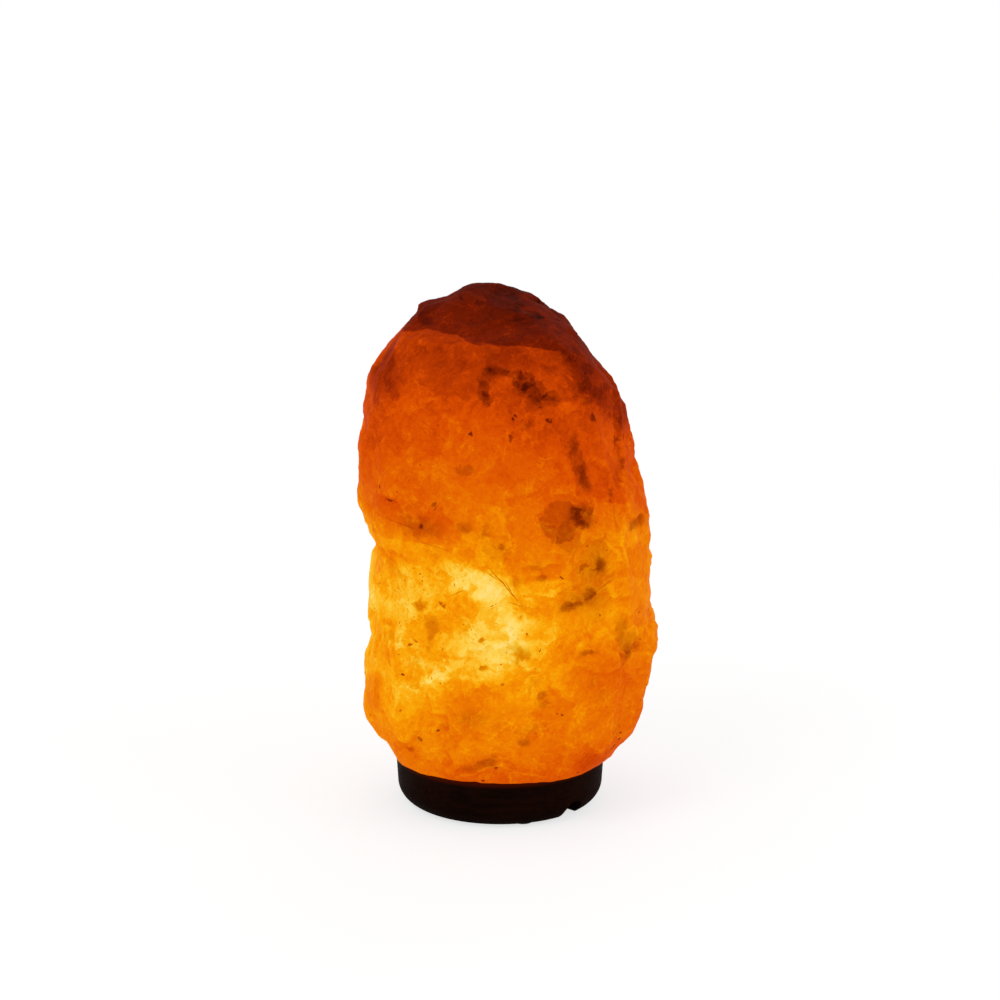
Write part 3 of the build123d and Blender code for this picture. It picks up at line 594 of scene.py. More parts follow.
def heat_layers(finish, place, torn):
    """The glow by height, the dark cap and shoulder, and the break at the left front."""
    x, y, z = finish.axes(place)
    torn_x, _, torn_z = finish.axes(torn)
    low = HEAT_BY_HEIGHT[0][0]
    high = HEAT_BY_HEIGHT[-1][0]
    stops = [((level - low) / (high - low), heat) for level, heat in HEAT_BY_HEIGHT]
    risen = finish.ramp((frayed(z, torn_z, FRAYED_LEVELS) - low) / (high - low), stops)
    heat = finish.axes(risen)[0] - x * COOLER_TO_RIGHT

    left_end, right_end = CAP_EDGE[0][0], CAP_EDGE[-1][0]
    width = right_end - left_end
    stops = [((across - left_end) / width, (up - low) / (high - low)) for across, up in CAP_EDGE]
    edge = finish.axes(finish.ramp((x - left_end) / width, stops))[0] * (high - low) + low
    behind = finish.ease(y, *BACK_EDGE)
    edge = edge + behind * finish.cloud(place, BACK_TONGUE, 4.0, 0.6) * BACK_REACH
    softness = finish.ease(x, *SHOULDER) * SHOULDER_SOFT + CAP_CRISP
    cap = finish.ease((frayed(z, torn_z, FRAYED_CAP) - edge) / softness, -1.0, 1.0)
    heat = heat - cap * CAP_DARKER

    break_edge = BREAK_HEIGHT - (x + BREAK_START) * BREAK_FALL
    left = finish.ease(torn_x * -1, *BREAK_END)
    below = 1 - finish.ease(frayed(z, torn_z, FRAYED_BREAK) - break_edge, -BREAK_EDGE, BREAK_EDGE)
    return heat + below * left * BREAK_BRIGHTER


PLATE = 17.0  # width of the cleavage plates, in mm
SMALL_PLATE = 6.5  # width of the shards within them, in mm

# How much each pattern changes the heat, from none to all of it.
HEAT_SHARES = {
    "plates": 0.07,
    "shards": 0.05,
    "plate edges": 0.06,
    "fractures": 0.08,
    "strokes": 0.11,
    "broad clouds": 0.10,
    "torn clouds": 0.09,
    "grain": 0.20,
    # painted light: a highlight on each ridge and shade in each groove
    "ridge_highlight_groove_shade": 0.04,
    "bore": 0.2,
}


def salt_plates(finish, place, torn):
    """Cleavage plates of slightly different tone, fractures between them, and fine strokes."""
    shares = HEAT_SHARES
    tone = finish.chance(torn, PLATE) * shares["plates"] + finish.chance(torn, SMALL_PLATE) * shares["shards"]
    edge = 1 - finish.ease(finish.cells(torn, PLATE, feature="DISTANCE_TO_EDGE"), 0.0, 0.03)
    tone = tone + edge * finish.ease(finish.cloud(place, 16.0), -0.05, 0.15) * shares["plate edges"]
    fracture = 1 - finish.ease(abs(finish.cloud(torn, 11.0, 6.0, 0.68)), 0.0, 0.035)
    tone = tone + fracture * finish.ease(finish.cloud(place, 8.0), -0.02, 0.12) * shares["fractures"]
    slanted = finish.turned(place, 50) * (1.0, 1.0, 0.16)
    crossed = finish.turned(place, -35) * (1.0, 1.0, 0.2)
    zone = finish.ease(finish.cloud(place, 19.0), -0.08, 0.08)
    stroke = zone * finish.cloud(slanted, 1.1, 3.0, 0.6) + (1 - zone) * finish.cloud(crossed, 1.2, 3.0, 0.6)
    return tone + stroke * shares["strokes"]


BORE_WALL = (22.6, 24.6)  # from the bore's wall outwards, in mm, the salt loses the bulb's direct light
BORE_TOP = (117.0, 119.0)  # and upwards it loses it here, in mm
FRONT = (-4.0, 10.0)  # the front's own marks set in here, in mm before the middle


def salt_heat(finish, place, warped, torn, shards, front):
    """How warm each point glows: layers, placed zones and lines, plates, clouds, a painted highlight on each
    ridge with painted shade in each groove, and the bore.
    """
    heat = heat_layers(finish, place, torn)
    marks = patches(finish, shards, SALT_ZONES) + patches(finish, warped, SALT_LINES)
    heat = heat + marks * front + salt_plates(finish, place, torn)
    heat = heat + finish.cloud(place, 30.0, 3.0) * HEAT_SHARES["broad clouds"]
    heat = heat + finish.cloud(torn, 7.0, 5.0, 0.7) * HEAT_SHARES["torn clouds"]
    heat = heat + finish.cloud(place, 1.3, 4.0, 0.75) * HEAT_SHARES["grain"]
    # Painted light: the glow is raised where the mesh bends out and lowered where it bends in, a painted
    # highlight on each ridge and painted shade in each groove.
    ridge = finish.node("ShaderNodeAttribute", {"attribute_name": "ridge"}, None, "Fac")
    heat = heat + ridge * HEAT_SHARES["ridge_highlight_groove_shade"]
    bore = 1 - finish.ease(finish.reach(place), *BORE_WALL)
    lower = finish.ease(finish.axes(place)[2] * -1, -BORE_TOP[1], -BORE_TOP[0])
    return heat + bore * lower * HEAT_SHARES["bore"]


# Round specks: width of the cells that may hold one, its radius (both in mm), and the share that do.
SPECKS = (9.0, 1.0, 0.45)
DUST = (3.6, 0.42, 0.45)
PEPPER = (2.3, 0.55, 0.5)

SCRATCH_DRIFT = (14.0, 1.2)  # how scratches wander: the size of the bends and their reach, in mm

# The depth of colour of each pattern of inclusions.
STAIN_DEPTHS = {"smudges": 0.34, "cores": 0.5, "specks": 0.8, "dust": 0.55, "sponge": 0.16, "pepper": 0.5}
# The front has its own placed inclusions, so it has this much less of the first two.
LESS_IN_FRONT = {"smudges": 0.24, "cores": 0.34}


def salt_stains(finish, place, torn, shards, front, hot):
    """Brown and black inclusions: the placed ones in front, and smudges, specks and dust all round."""
    depths = STAIN_DEPTHS
    straight = finish.drift(place, *SCRATCH_DRIFT)
    placed = patches(finish, shards * 0.6 + torn * 0.4, SALT_STAINS)
    placed = placed + patches(finish, straight, SALT_SCRATCHES)
    smudge = finish.ease(finish.cloud(torn, 16.0, 5.0, 0.62), 0.09, 0.17)
    smudge = smudge * (depths["smudges"] - front * LESS_IN_FRONT["smudges"])
    core = finish.ease(finish.cloud(torn, 9.0, 5.0, 0.7), 0.17, 0.26)
    core = core * (depths["cores"] - front * LESS_IN_FRONT["cores"])
    speck = finish.spots(torn, *SPECKS) * depths["specks"]
    dust = finish.spots(torn, *DUST) * depths["dust"]
    crowd = greater(finish.ease(finish.cloud(place, 11.0, 3.0), 0.02, 0.16), hot)
    pepper = finish.spots(torn, *PEPPER) * crowd
    feather = finish.ease(finish.cloud(torn, 2.2, 6.0, 0.75), -0.16, 0.12)
    sponge = finish.ease(finish.cloud(torn, 1.6, 5.0, 0.75), 0.05, 0.16)
    sponge = sponge * finish.ease(finish.cloud(place, 15.0, 3.0), -0.05, 0.12)
    stains = placed * front * (0.75 + feather * 0.35) + smudge + core + speck + dust
    return lesser(stains + sponge * depths["sponge"] + pepper * depths["pepper"], 1.0)


HOT = (0.84, 0.98)  # the heat at which the salt turns bright and peppered
MILKY = (1.0, 1.2)  # the heat at which it turns milky
MILKINESS = 0.32  # how milky it gets
BROAD_DRIFT = (12.0, 4.5)  # how the placed marks are warped: the size of the bends and their reach, in mm
FINE_DRIFT = (3.0, 1.3)  # and again, finer
TEAR = (0.9, 0.35)  # and finest, where edges are torn
SHARD_PUSH = 3.4  # how far the shards shift a pattern, in mm
STAIN_DIMS = (0.12, 0.55)  # heat that a full stain takes, and how much more where the salt is hot
SKIN_HEIGHTS = (0.35, 0.10)  # height of the skin's hollows and of its grain, in mm


def salt_colour(finish, torn, lit, stains, settings):
    """The colour of a heat, milky where it is hottest, and browned by the inclusions."""
    colours = [(level / HEAT_SPAN, colour) for level, colour in HEAT_COLOURS]
    colour = finish.ramp(lit / HEAT_SPAN, colours)
    cloudy = finish.ease(lit + finish.cloud(torn, 6.0, 5.0, 0.7) * 0.5, *MILKY)
    colour = finish.blend(colour, tuple(settings.milk), cloudy * MILKINESS)
    return finish.blend(colour, tuple(settings.stain), stains, "MULTIPLY")


def salt_finish(settings):
    """Lit rock salt: glowing zones, cleavage plates, brown inclusions, specks and a satin skin, with the
    glow's light and shade also painted into its base colour.
    """
    finish = new_finish("rock_salt")
    place = finish.place()
    warped = finish.drift(finish.drift(place, *BROAD_DRIFT), *FINE_DRIFT)
    torn = finish.drift(warped, *TEAR)
    shards = torn + (finish.cells(place, SMALL_PLATE, "Color") - MIDDLE) * SHARD_PUSH
    front = finish.ease(finish.axes(place)[1] * -1, *FRONT)

    heat = salt_heat(finish, place, warped, torn, shards, front)
    hot = finish.ease(heat, *HOT)
    stains = salt_stains(finish, place, torn, shards, front, hot)
    lit = heat - stains * (hot * STAIN_DIMS[1] + STAIN_DIMS[0])
    colour = salt_colour(finish, torn, lit, stains, settings)
    hollows = finish.cloud(place, 4.5, 4.0, 0.6) * SKIN_HEIGHTS[0]
    skin = hollows + finish.cloud(place, 0.9, 2.0, 0.6) * SKIN_HEIGHTS[1]
    return finish.surface(
        {
            # Painted light: the base colour is the glow's colour, dimmed, so the bulb's light, the cap's
            # shade and each ridge's highlight are painted into it.
            "Base Color": finish.blend(BLACK, colour, settings.skin),
            "Roughness": finish.cloud(torn, 6.0, 3.0) * 0.2 + settings.roughness,
            "Specular IOR Level": 0.004,
            "Emission Color": finish.blend(BLACK, colour, settings.glow),
            "Emission Strength": 1.0,
            "Normal": finish.relief(skin, 0.6),
        }
    )


def even_copy(source, step):
    """A copy of a CAD piece with an even mesh of square faces."""
    piece = add("even_copy", source.data.copy())
    remesh = piece.modifiers.new("even", "REMESH")
    remesh.mode = "VOXEL"
    remesh.voxel_size = step * MM
    bpy.context.view_layer.update()
    shape = piece.evaluated_get(bpy.context.evaluated_depsgraph_get())
    mesh = bpy.data.meshes.new_from_object(shape)
    bpy.data.objects.remove(piece)
    return mesh


def read_points(mesh, field="co"):
    values = np.empty(len(mesh.vertices) * 3)
    mesh.vertices.foreach_get(field, values)
    return values.reshape(-1, 3)


def write_points(mesh, points):
    mesh.vertices.foreach_set("co", (points * MM).ravel())


def dots(vectors, others):
    """The dot product of each pair of rows."""
    return np.einsum("ij,ij->i", vectors, others)


def unit(vectors):
    """Each row, made one long."""
    return vectors / np.linalg.norm(vectors, axis=1)[:, None]


class Net:
    """The edges of a mesh, for smoothing values over neighbouring vertices."""

    def __init__(self, mesh):
        pairs = np.empty(len(mesh.edges) * 2, dtype=int)
        mesh.edges.foreach_get("vertices", pairs)
        self.ends = pairs.reshape(-1, 2)
        self.count = len(mesh.vertices)
        self.degree = np.maximum(np.bincount(pairs, minlength=self.count), 1)

    def around(self, values):
        """The mean of each vertex's neighbours."""
        one, other = self.ends.T
        total = np.bincount(one, values[other], self.count) + np.bincount(other, values[one], self.count)
        return total / self.degree

    def around_points(self, points):
        return np.column_stack([self.around(points[:, axis]) for axis in range(3)])


def step_up(values, low, high):
    """0 below a low value and 1 above a high one, smooth between them."""
    share = np.clip((values - low) / (high - low), 0.0, 1.0)
    return share * share * (3 - 2 * share)


FRACTAL = (1.0, 2.0, 3)  # how fast the noise's octaves fade, how much finer each one is, and how many


def lumps(points, size):
    """Fractal noise at each point, about -0.5 to 0.5, with lumps of a size."""
    return np.array([noise.fractal(Vector(p) / size, *FRACTAL) for p in points])


CHIP_SEED = 7
CHIP_GAP = 0.62  # least distance between chips, as a share of their width
CHIP_GAP_SPREAD = 0.6  # how much more it may be
GAP_STEP = 7919  # a prime, so that neighbours get unlike gaps
CHIP_LEAN = 0.11  # how far chips lean from the surface
CHIP_DEPTHS = (0.2, 1.5)  # shallowest and deepest chip, as shares of the set depth
CHIP_HOLLOWS = (0.0, 1.6)  # flattest and most dished chip, as shares of the set hollow
CHIPS_NEAR = 5  # how many of the nearest chips can cut a point
LEAST_FACING = 0.5  # a chip that leans away further than this cuts as if it didn't, as a cosine


def chip_centres(points, random, width):
    """Scattered points that chips are cut at, no two of them nearer than the later one's gap."""
    centres = []
    grid = {}
    for index in random.permutation(len(points)):
        key = tuple((points[index] // width).astype(int))
        near = [c for dx in (-1, 0, 1) for dy in (-1, 0, 1) for dz in (-1, 0, 1)
                for c in grid.get((key[0] + dx, key[1] + dy, key[2] + dz), ())]
        gap = width * (CHIP_GAP + CHIP_GAP_SPREAD * ((index * GAP_STEP) % 100) / 100)
        if all(np.linalg.norm(points[index] - points[c]) > gap for c in near):
            grid.setdefault(key, []).append(index)
            centres.append(index)
    return centres


def chip_cuts(points, normals, settings):
    """How far hewn chips cut in at each point: the deepest of the nearest flat or dished cuts."""
    random = np.random.default_rng(CHIP_SEED)
    centres = chip_centres(points, random, settings.chip_size)
    tree = kdtree.KDTree(len(centres))
    for number, index in enumerate(centres):
        tree.insert(points[index], number)
    tree.balance()
    facing = unit(normals[centres] + random.normal(0.0, CHIP_LEAN, (len(centres), 3)))
    depth = settings.chip_depth * random.uniform(*CHIP_DEPTHS, len(centres))
    hollow = settings.chip_hollow * random.uniform(*CHIP_HOLLOWS, len(centres))
    nearest = np.array([[n for _, n, _ in tree.find_n(p, CHIPS_NEAR)] for p in points])
    cut = np.full(len(points), -np.inf)
    for column in nearest.T:
        offset = points - points[np.array(centres)[column]]
        height = dots(offset, facing[column]) / np.maximum(dots(normals, facing[column]), LEAST_FACING)
        away = dots(offset, offset) / settings.chip_size**2
        cut = np.maximum(cut, height + depth[column] + hollow[column] * (1 - away))
    return cut


# Places where the outline steps in or out: (x, y, z), radius and push along the surface, in mm.
SALT_DENTS = (
    ((67.0, 0.0, 137.0), 3.0, 1.0),
    ((71.0, 0.0, 131.0), 2.2, -1.5),
    ((72.0, -5.0, 136.0), 6.0, 1.5),
    ((73.0, -5.0, 124.0), 4.5, -2.4),
    ((72.0, 4.0, 105.0), 4.0, -1.6),
    ((73.0, 5.0, 91.0), 6.0, 1.6),
    ((75.0, 5.0, 77.0), 6.0, -1.2),
    ((70.0, -22.0, 60.0), 6.0, -1.0),
    ((67.0, -25.0, 50.0), 7.0, 1.5),
    ((54.0, -23.0, 30.0), 6.0, -1.6),
    ((36.0, 3.0, 228.0), 6.0, -0.6),
    ((26.0, 9.0, 236.0), 6.0, 1.6),
    ((10.0, 20.0, 244.0), 9.0, -1.0),
    ((-26.0, 21.0, 243.0), 9.0, -3.8),
    ((-24.0, 2.0, 246.0), 8.0, -1.5),
    ((-38.0, 12.0, 236.0), 6.0, 0.8),
    ((-48.0, 5.0, 227.0), 5.0, -1.6),
    ((-63.0, -1.0, 192.0), 8.0, 1.6),
    ((-65.0, -8.0, 172.0), 16.0, 1.4),
    ((-61.0, -14.0, 136.0), 7.0, 1.8),
    ((-61.0, 0.0, 112.0), 17.0, 1.8),
    ((-61.0, -6.0, 87.0), 6.0, 3.0),
    ((-65.0, -8.0, 75.0), 4.0, -1.2),
    ((-62.0, -18.0, 51.0), 9.0, 1.0),
    ((-62.0, 0.0, 66.0), 15.0, 1.8),
    ((-56.0, -24.0, 36.0), 4.0, 1.2),
    ((-53.0, -26.0, 31.0), 6.0, -3.6),
    ((60.0, 0.0, 186.0), 10.0, 1.8),
    ((72.0, 6.0, 113.0), 7.0, 3.2),
)


BORE_ROOM = 9.0  # the bore's room beside the bulb, in mm
CAVITY_ROOM = 21.2  # the cavity's room above the bulb, in mm
KEPT_WALL = (1.6, 1.5)  # salt beside and above the cavity that is never hewn, in mm
EASED_CORNERS = 6  # rounds that ease the solid's sharp corners
EASING = 0.6  # share of the way that each round goes
CUT_LIMITS = (-0.5, 4.0)  # least and greatest depth of a cut, in mm
OUTWARD = 0.55  # the whole surface stands out by this, so that cuts stay in the salt, in mm
RIPPLE = 0.35  # height of the small waves, in mm
SWELL_SIZE, RIPPLE_SIZE, GRIT_SIZE = 34.0, 8.0, 2.6  # width of broad waves, small waves and grit, in mm
RIPPLE_APART, GRIT_APART = 100.0, 300.0  # where in the noise they are taken from, so that they differ
SMOOTHINGS = 2  # rounds that smooth the chips and broad waves
FOOT_EASED = (0.8, 8.0)  # above the foot, corners begin to be eased here and are in full here, in mm
FOOT_HEWN = 0.3  # share of the hewing that the foot itself gets
FOOT_HEWN_FULL = 9.0  # where above the foot the block gets all of it, in mm
RIDGE_BEND = 0.12  # the bend at which a ridge or groove counts in full, in mm


def eased(mesh, net, points, share):
    """The points after their sharp corners are eased, written to the mesh, with smooth normals."""
    for _ in range(EASED_CORNERS):
        points += share[:, None] * EASING * (net.around_points(points) - points)
    write_points(mesh, points)
    mesh.update()
    normals = read_points(mesh, "normal")
    for _ in range(EASED_CORNERS):
        normals = unit(normals + net.around_points(normals))
    return points, normals


def hewn_push(points, normals, net, settings):
    """How far each point is pushed out or in: chips, waves, grit and the dents of the outline."""
    cuts = chip_cuts(points, normals, settings)
    swell = lumps(points, SWELL_SIZE) * settings.swell * 2
    ripple = lumps(points + RIPPLE_APART, RIPPLE_SIZE) * RIPPLE
    grit = lumps(points + GRIT_APART, GRIT_SIZE) * settings.grit * 2
    push = OUTWARD - np.clip(cuts, *CUT_LIMITS) + swell
    for _ in range(SMOOTHINGS):
        push = (push + net.around(push)) / 2
    push += ripple + grit
    for centre, radius, amount in SALT_DENTS:
        away = np.linalg.norm(points - np.array(centre), axis=1)
        push += amount * np.exp(-((away / radius) ** 2))
    return push


def hewn_salt(settings):
    """The salt block's mesh: the CAD block, hewn into chips, swelled, gritted and kept in its box."""
    mesh = even_copy(nodes["salt_crystal"], settings.mesh_step)
    net = Net(mesh)
    points = read_points(mesh) / MM
    box_low, box_high = [np.array(corner) for corner in span("salt_crystal")]
    bore = span("bulb_glass")[1].x + BORE_ROOM
    cavity_top = span("bulb_glass")[1].z + CAVITY_ROOM
    reach = np.hypot(points[:, 0], points[:, 1])
    foot = box_low[2]
    outside = np.where((reach > bore + KEPT_WALL[0]) | (points[:, 2] > cavity_top + KEPT_WALL[1]), 1.0, 0.0)
    above = step_up(points[:, 2], foot + FOOT_EASED[0], foot + FOOT_EASED[1])
    points, normals = eased(mesh, net, points, outside * above)

    rising = step_up(points[:, 2], foot, foot + FOOT_HEWN_FULL)
    free = outside * (FOOT_HEWN + (1 - FOOT_HEWN) * rising)
    push = hewn_push(points, normals, net, settings)
    points = points + normals * (push * free)[:, None]
    points = np.clip(points, box_low, box_high)
    write_points(mesh, points)

    bend = dots(points - net.around_points(points), normals)
    bend = (bend + net.around(bend)) / 2
    # The bend is kept for the glow, which paints a highlight on each ridge and shade in each groove with it.
    ridge = mesh.attributes.new("ridge", "FLOAT", "POINT")
    ridge.data.foreach_set("value", np.clip(bend / RIDGE_BEND, -1.0, 1.0) * outside * above)
    mesh.shade_smooth()
    mesh.update()
    return mesh


# ---- Wood, rubber, metal, ceramic, glass -------------------------------------------------


RING_WAVES = 7.0  # how close the tool's rings lie, in radians for each mm
# Painted light: where the salt's light is painted on the wood as a glow.
RIM_GLOW = (3.0, 0.2)  # the salt's light fades in from this far below the rim to this far above it, in mm
RIM_REACH = (30.0, 46.0)  # and from the bore outwards, in mm
GRAIN_HEIGHT, PORE_DEPTH, RING_HEIGHT = 0.05, 0.06, 0.008  # in mm


def wood_finish(settings):
    """Dark oiled hardwood, turned: fine grain along X, pores and faint tool rings, with the salt's light
    painted on the upper rim as a glow.
    """
    finish = new_finish("dark_wood")
    place = finish.place()
    torn = finish.drift(place, 14.0, 1.6)
    figure = finish.cloud(torn * (0.08, 1.0, 1.0), 2.2, 4.0, 0.6)
    pores = finish.ease(finish.cloud(place * (0.06, 1.0, 1.0), 0.5, 2.0, 0.6), 0.10, 0.2)
    broad = finish.cloud(place, 26.0, 2.0)
    tone = finish.ease(figure + broad * 0.6, -0.22, 0.25)
    colour = finish.blend(tuple(settings.dark), tuple(settings.light), tone)
    colour = finish.blend(colour, (0.001, 0.0005, 0.0003), pores * 0.7)
    reach = finish.reach(place)
    z = finish.axes(place)[2]
    rings = finish.node("ShaderNodeMath", {"operation": "SINE"}, {0: (reach + z) * RING_WAVES})
    height = figure * GRAIN_HEIGHT - pores * PORE_DEPTH + rings * RING_HEIGHT
    top = span("wooden_base")[1].z
    rim = finish.ease(z, top - RIM_GLOW[0], top + RIM_GLOW[1]) * finish.ease(reach, *RIM_REACH)
    return finish.surface(
        {
            "Base Color": colour,
            "Roughness": finish.cloud(torn, 5.0, 3.0) * 0.2 + settings.roughness,
            "Specular IOR Level": 0.01,
            # Painted light: the salt's glow on the upper rim, as the wood's own emission.
            "Emission Color": finish.blend(BLACK, tuple(settings.painted_salt_light), rim),
            "Emission Strength": 1.0,
            "Normal": finish.relief(height, 0.7),
        }
    )


WORN_PATCH = 3.0  # width of the patches where a worn finish changes, in mm


def plain_finish(name, colour, second, roughness, metallic=0.0, specular=0.5, bump=0.02, **more):
    """A worn, evenly coloured finish: two near colours, changing gloss and a fine skin."""
    finish = new_finish(name)
    place = finish.place()
    tone = finish.ease(finish.cloud(place, WORN_PATCH, 4.0, 0.6), -0.2, 0.25)
    skin = finish.cloud(place, WORN_PATCH / 6, 3.0, 0.6)
    sockets = {
        "Base Color": finish.blend(colour, second, tone),
        "Metallic": metallic,
        "Roughness": skin * 0.18 + roughness,
        "Specular IOR Level": specular,
        "Normal": finish.relief(skin * bump, 0.8),
    }
    sockets.update(more)
    return finish.surface(sockets)


def glass_finish(name, colour, second, clearness):
    """Clear blown glass with a barely uneven wall."""
    finish = new_finish(name)
    place = finish.place()
    return finish.surface(
        {
            "Base Color": finish.blend(colour, second, finish.cloud(place, 6.0) + 0.5),
            "Roughness": finish.ease(finish.cloud(place, 4.0), 0.1, 0.4) * 0.02,
            "IOR": 1.5,
            "Transmission Weight": clearness,
            "Normal": finish.relief(finish.cloud(place, 9.0, 1.0), 0.03),
        }
    )


# Dim enough that the lit coil still shows its colour.
FILAMENT_GLOW = {"Emission Color": srgb(255, 150, 50), "Emission Strength": 2.2}

# Each metal, resin, rubber, ceramic and wire: its two colours, its roughness, and what else differs.
PLAIN_FINISHES = {
    "foot_rubber": (srgb(26, 25, 24), srgb(38, 37, 36), 0.75, {"bump": 0.05}),
    "zinc_steel": (srgb(176, 178, 182), srgb(150, 153, 160), 0.34, {"metallic": 1.0}),
    "anchor_nylon": (srgb(196, 194, 186), srgb(178, 176, 168), 0.55, {}),
    "spring_steel": (srgb(150, 152, 156), srgb(120, 122, 128), 0.28, {"metallic": 1.0}),
    "holder_resin": (srgb(17, 15, 14), srgb(25, 22, 20), 0.3, {"specular": 0.2, "bump": 0.03}),
    "steatite": (srgb(222, 214, 198), srgb(206, 197, 180), 0.5, {"bump": 0.05}),
    "brass": (srgb(204, 166, 92), srgb(176, 138, 70), 0.3, {"metallic": 1.0}),
    "bronze": (srgb(188, 132, 84), srgb(160, 106, 64), 0.32, {"metallic": 1.0}),
    "cap_aluminium": (srgb(196, 197, 200), srgb(172, 174, 178), 0.3, {"metallic": 1.0}),
    "solder": (srgb(170, 170, 172), srgb(140, 140, 142), 0.4, {"metallic": 1.0, "bump": 0.06}),
    "black_glass": (srgb(14, 13, 16), srgb(24, 22, 26), 0.12, {}),
    "cement": (srgb(186, 178, 164), srgb(160, 152, 138), 0.85, {"bump": 0.12}),
    "hot_tungsten": (srgb(120, 110, 100), srgb(90, 84, 80), 0.4, {"metallic": 1.0, **FILAMENT_GLOW}),
    "wire": (srgb(150, 146, 140), srgb(124, 120, 114), 0.35, {"metallic": 1.0}),
}
# Each glass: its two colours and how much light it lets through.
GLASS_FINISHES = {
    "clear_glass": (WHITE, (0.97, 0.99, 0.98), 1.0),
    "stem_glass": ((0.93, 0.96, 0.94), (0.86, 0.92, 0.89), 0.92),
}


def finish_named(name):
    """The material of a finish, made the first time that it is asked for."""
    made = bpy.data.materials.get(name + "_finish")
    if made:
        return made
    if name in GLASS_FINISHES:
        return glass_finish(name, *GLASS_FINISHES[name])
    colour, second, roughness, more = PLAIN_FINISHES[name]
    return plain_finish(name, colour, second, roughness, **more)


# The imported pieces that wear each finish.
BASE_FINISHES = {
    "foot_rubber": ["rubber_feet"],
    "zinc_steel": ["base_screws"],
    "anchor_nylon": ["screw_anchors"],
}
HOLDER_FINISHES = {
    "zinc_steel": ["clip_frame", "nipple_nut", "lock_washer", "terminal_screws"],
    "spring_steel": ["clip_wing_left", "clip_wing_right"],
    "holder_resin": ["holder_cap", "holder_sleeve"],
    "steatite": ["contact_block"],
    "brass": ["shell_terminal", "centre_terminal", "contact_rivets"],
    "bronze": ["centre_contact"],
}
BULB_FINISHES = {
    "solder": ["bulb_contact", "side_solder"],
    "black_glass": ["bulb_insulator"],
    "cement": ["bulb_cement"],
    "clear_glass": ["bulb_glass"],
    "stem_glass": ["bulb_stem"],
    "wire": ["filament_leads", "filament_supports"],
}


def dress_nodes(finishes):
    for name, pieces in finishes.items():
        for piece in pieces:
            dress(nodes[piece], finish_named(name))


# ---- Threads and coils -------------------------------------------------------------------


THREAD_ROWS = 9  # rows of faces in each turn of a thread
THREAD_COLUMNS = 56  # faces round a thread
THREAD_FADE = 0.6  # length over which a thread runs out, in turns
SHARP_BEND = radians(40)  # an edge that bends more than this looks sharp
NIPPLE_THREAD = (1.0, 0.5)  # pitch and depth of the nipple's thread, in mm
NIPPLE_ENDS = 0.3  # plain length at each end of the nipple, in mm
SHELL_ENDS = (1.6, 0.8)  # plain length below and above the holder's thread, in mm
CAP_THREAD = (0.8, 13.5)  # where the bulb's thread starts and ends above its cap's foot, in mm
COIL_CLEARANCE = 0.02  # room between the coil and the ring that stands for it, in mm
COIL_OPENING = radians(30)  # half of the gap between the filament's ends
COIL_STEPS = 10  # points in each turn of the filament
COIL_SIDES = 5  # faces round its wire


def threaded(name, low, high, pitch, depth):
    """A CAD piece's mesh, with a right-hand rounded thread pressed inwards between two heights in mm."""
    shape = bmesh.new()
    shape.from_mesh(nodes[name].data)
    heights = np.arange(low, high + pitch / THREAD_ROWS, pitch / THREAD_ROWS)
    levels = [((0.0, 0.0, height * MM), (0.0, 0.0, 1.0)) for height in heights]
    angles = np.arange(0.0, pi, 2 * pi / THREAD_COLUMNS)
    cuts = levels + [((0.0, 0.0, 0.0), (cos(angle), sin(angle), 0.0)) for angle in angles]
    for point, normal in cuts:
        parts = shape.verts[:] + shape.edges[:] + shape.faces[:]
        bmesh.ops.bisect_plane(shape, geom=parts, dist=1e-7, plane_co=point, plane_no=normal)
    fade = pitch * THREAD_FADE
    for vertex in shape.verts:
        x, y, z = vertex.co / MM
        strength = step_up(z, low, low + fade) * (1 - step_up(z, high - fade, high))
        wave = 0.5 - 0.5 * cos(2 * pi * z / pitch - atan2(y, x))
        share = 1 - depth * wave * strength / max(hypot(x, y), depth)
        vertex.co.x *= share
        vertex.co.y *= share
    mesh = bpy.data.meshes.new("threaded_" + name)
    shape.to_mesh(mesh)
    shape.free()
    mesh.shade_smooth()
    mesh.set_sharp_from_angle(angle=SHARP_BEND)
    return mesh


def swept(path, outward, radius, sides):
    """A closed round wire along a path in mm, with a vector at each point that says where outward is."""
    along = unit(np.gradient(path, axis=0))
    outward = unit(outward - dots(outward, along)[:, None] * along)
    across = np.cross(along, outward)
    turn = 2 * pi * np.arange(sides) / sides
    spokes = np.cos(turn)[:, None] * outward[:, None] + np.sin(turn)[:, None] * across[:, None]
    rings = path[:, None] + radius * spokes
    faces = [tuple(range(sides))[::-1], tuple(range((len(path) - 1) * sides, len(path) * sides))]
    for ring in range(len(path) - 1):
        start = ring * sides
        for side in range(sides):
            after = (side + 1) % sides
            faces.append((start + side, start + after, start + sides + after, start + sides + side))
    mesh = bpy.data.meshes.new("swept")
    mesh.from_pydata((rings.reshape(-1, 3) * MM).tolist(), [], faces)
    mesh.shade_smooth()
    mesh.update()
    return mesh


def coiled_filament(settings):
    """The filament as a fine coil, inside the plain ring that stands for it in the CAD."""
    low, high = span("filament")
    wire_r = settings.coil_wire / 2
    coil_r = (high.z - low.z) / 2 - wire_r - COIL_CLEARANCE
    ring_r = -low.x - (high.z - low.z) / 2
    height = (high.z + low.z) / 2
    sweep = 2 * pi - 2 * COIL_OPENING
    turns = round(sweep * ring_r / settings.coil_pitch)
    steps = np.linspace(0.0, 1.0, turns * COIL_STEPS + 1)[:, None]
    angle = COIL_OPENING + sweep * steps
    wound = 2 * pi * turns * steps
    radial = np.hstack([np.cos(angle), np.sin(angle), np.zeros_like(angle)])
    up = np.array([0.0, 0.0, 1.0])
    outward = np.cos(wound) * radial + np.sin(wound) * up
    return swept(ring_r * radial + height * up + coil_r * outward, outward, wire_r, COIL_SIDES)


# ---- Operators --------------------------------------------------------------------------


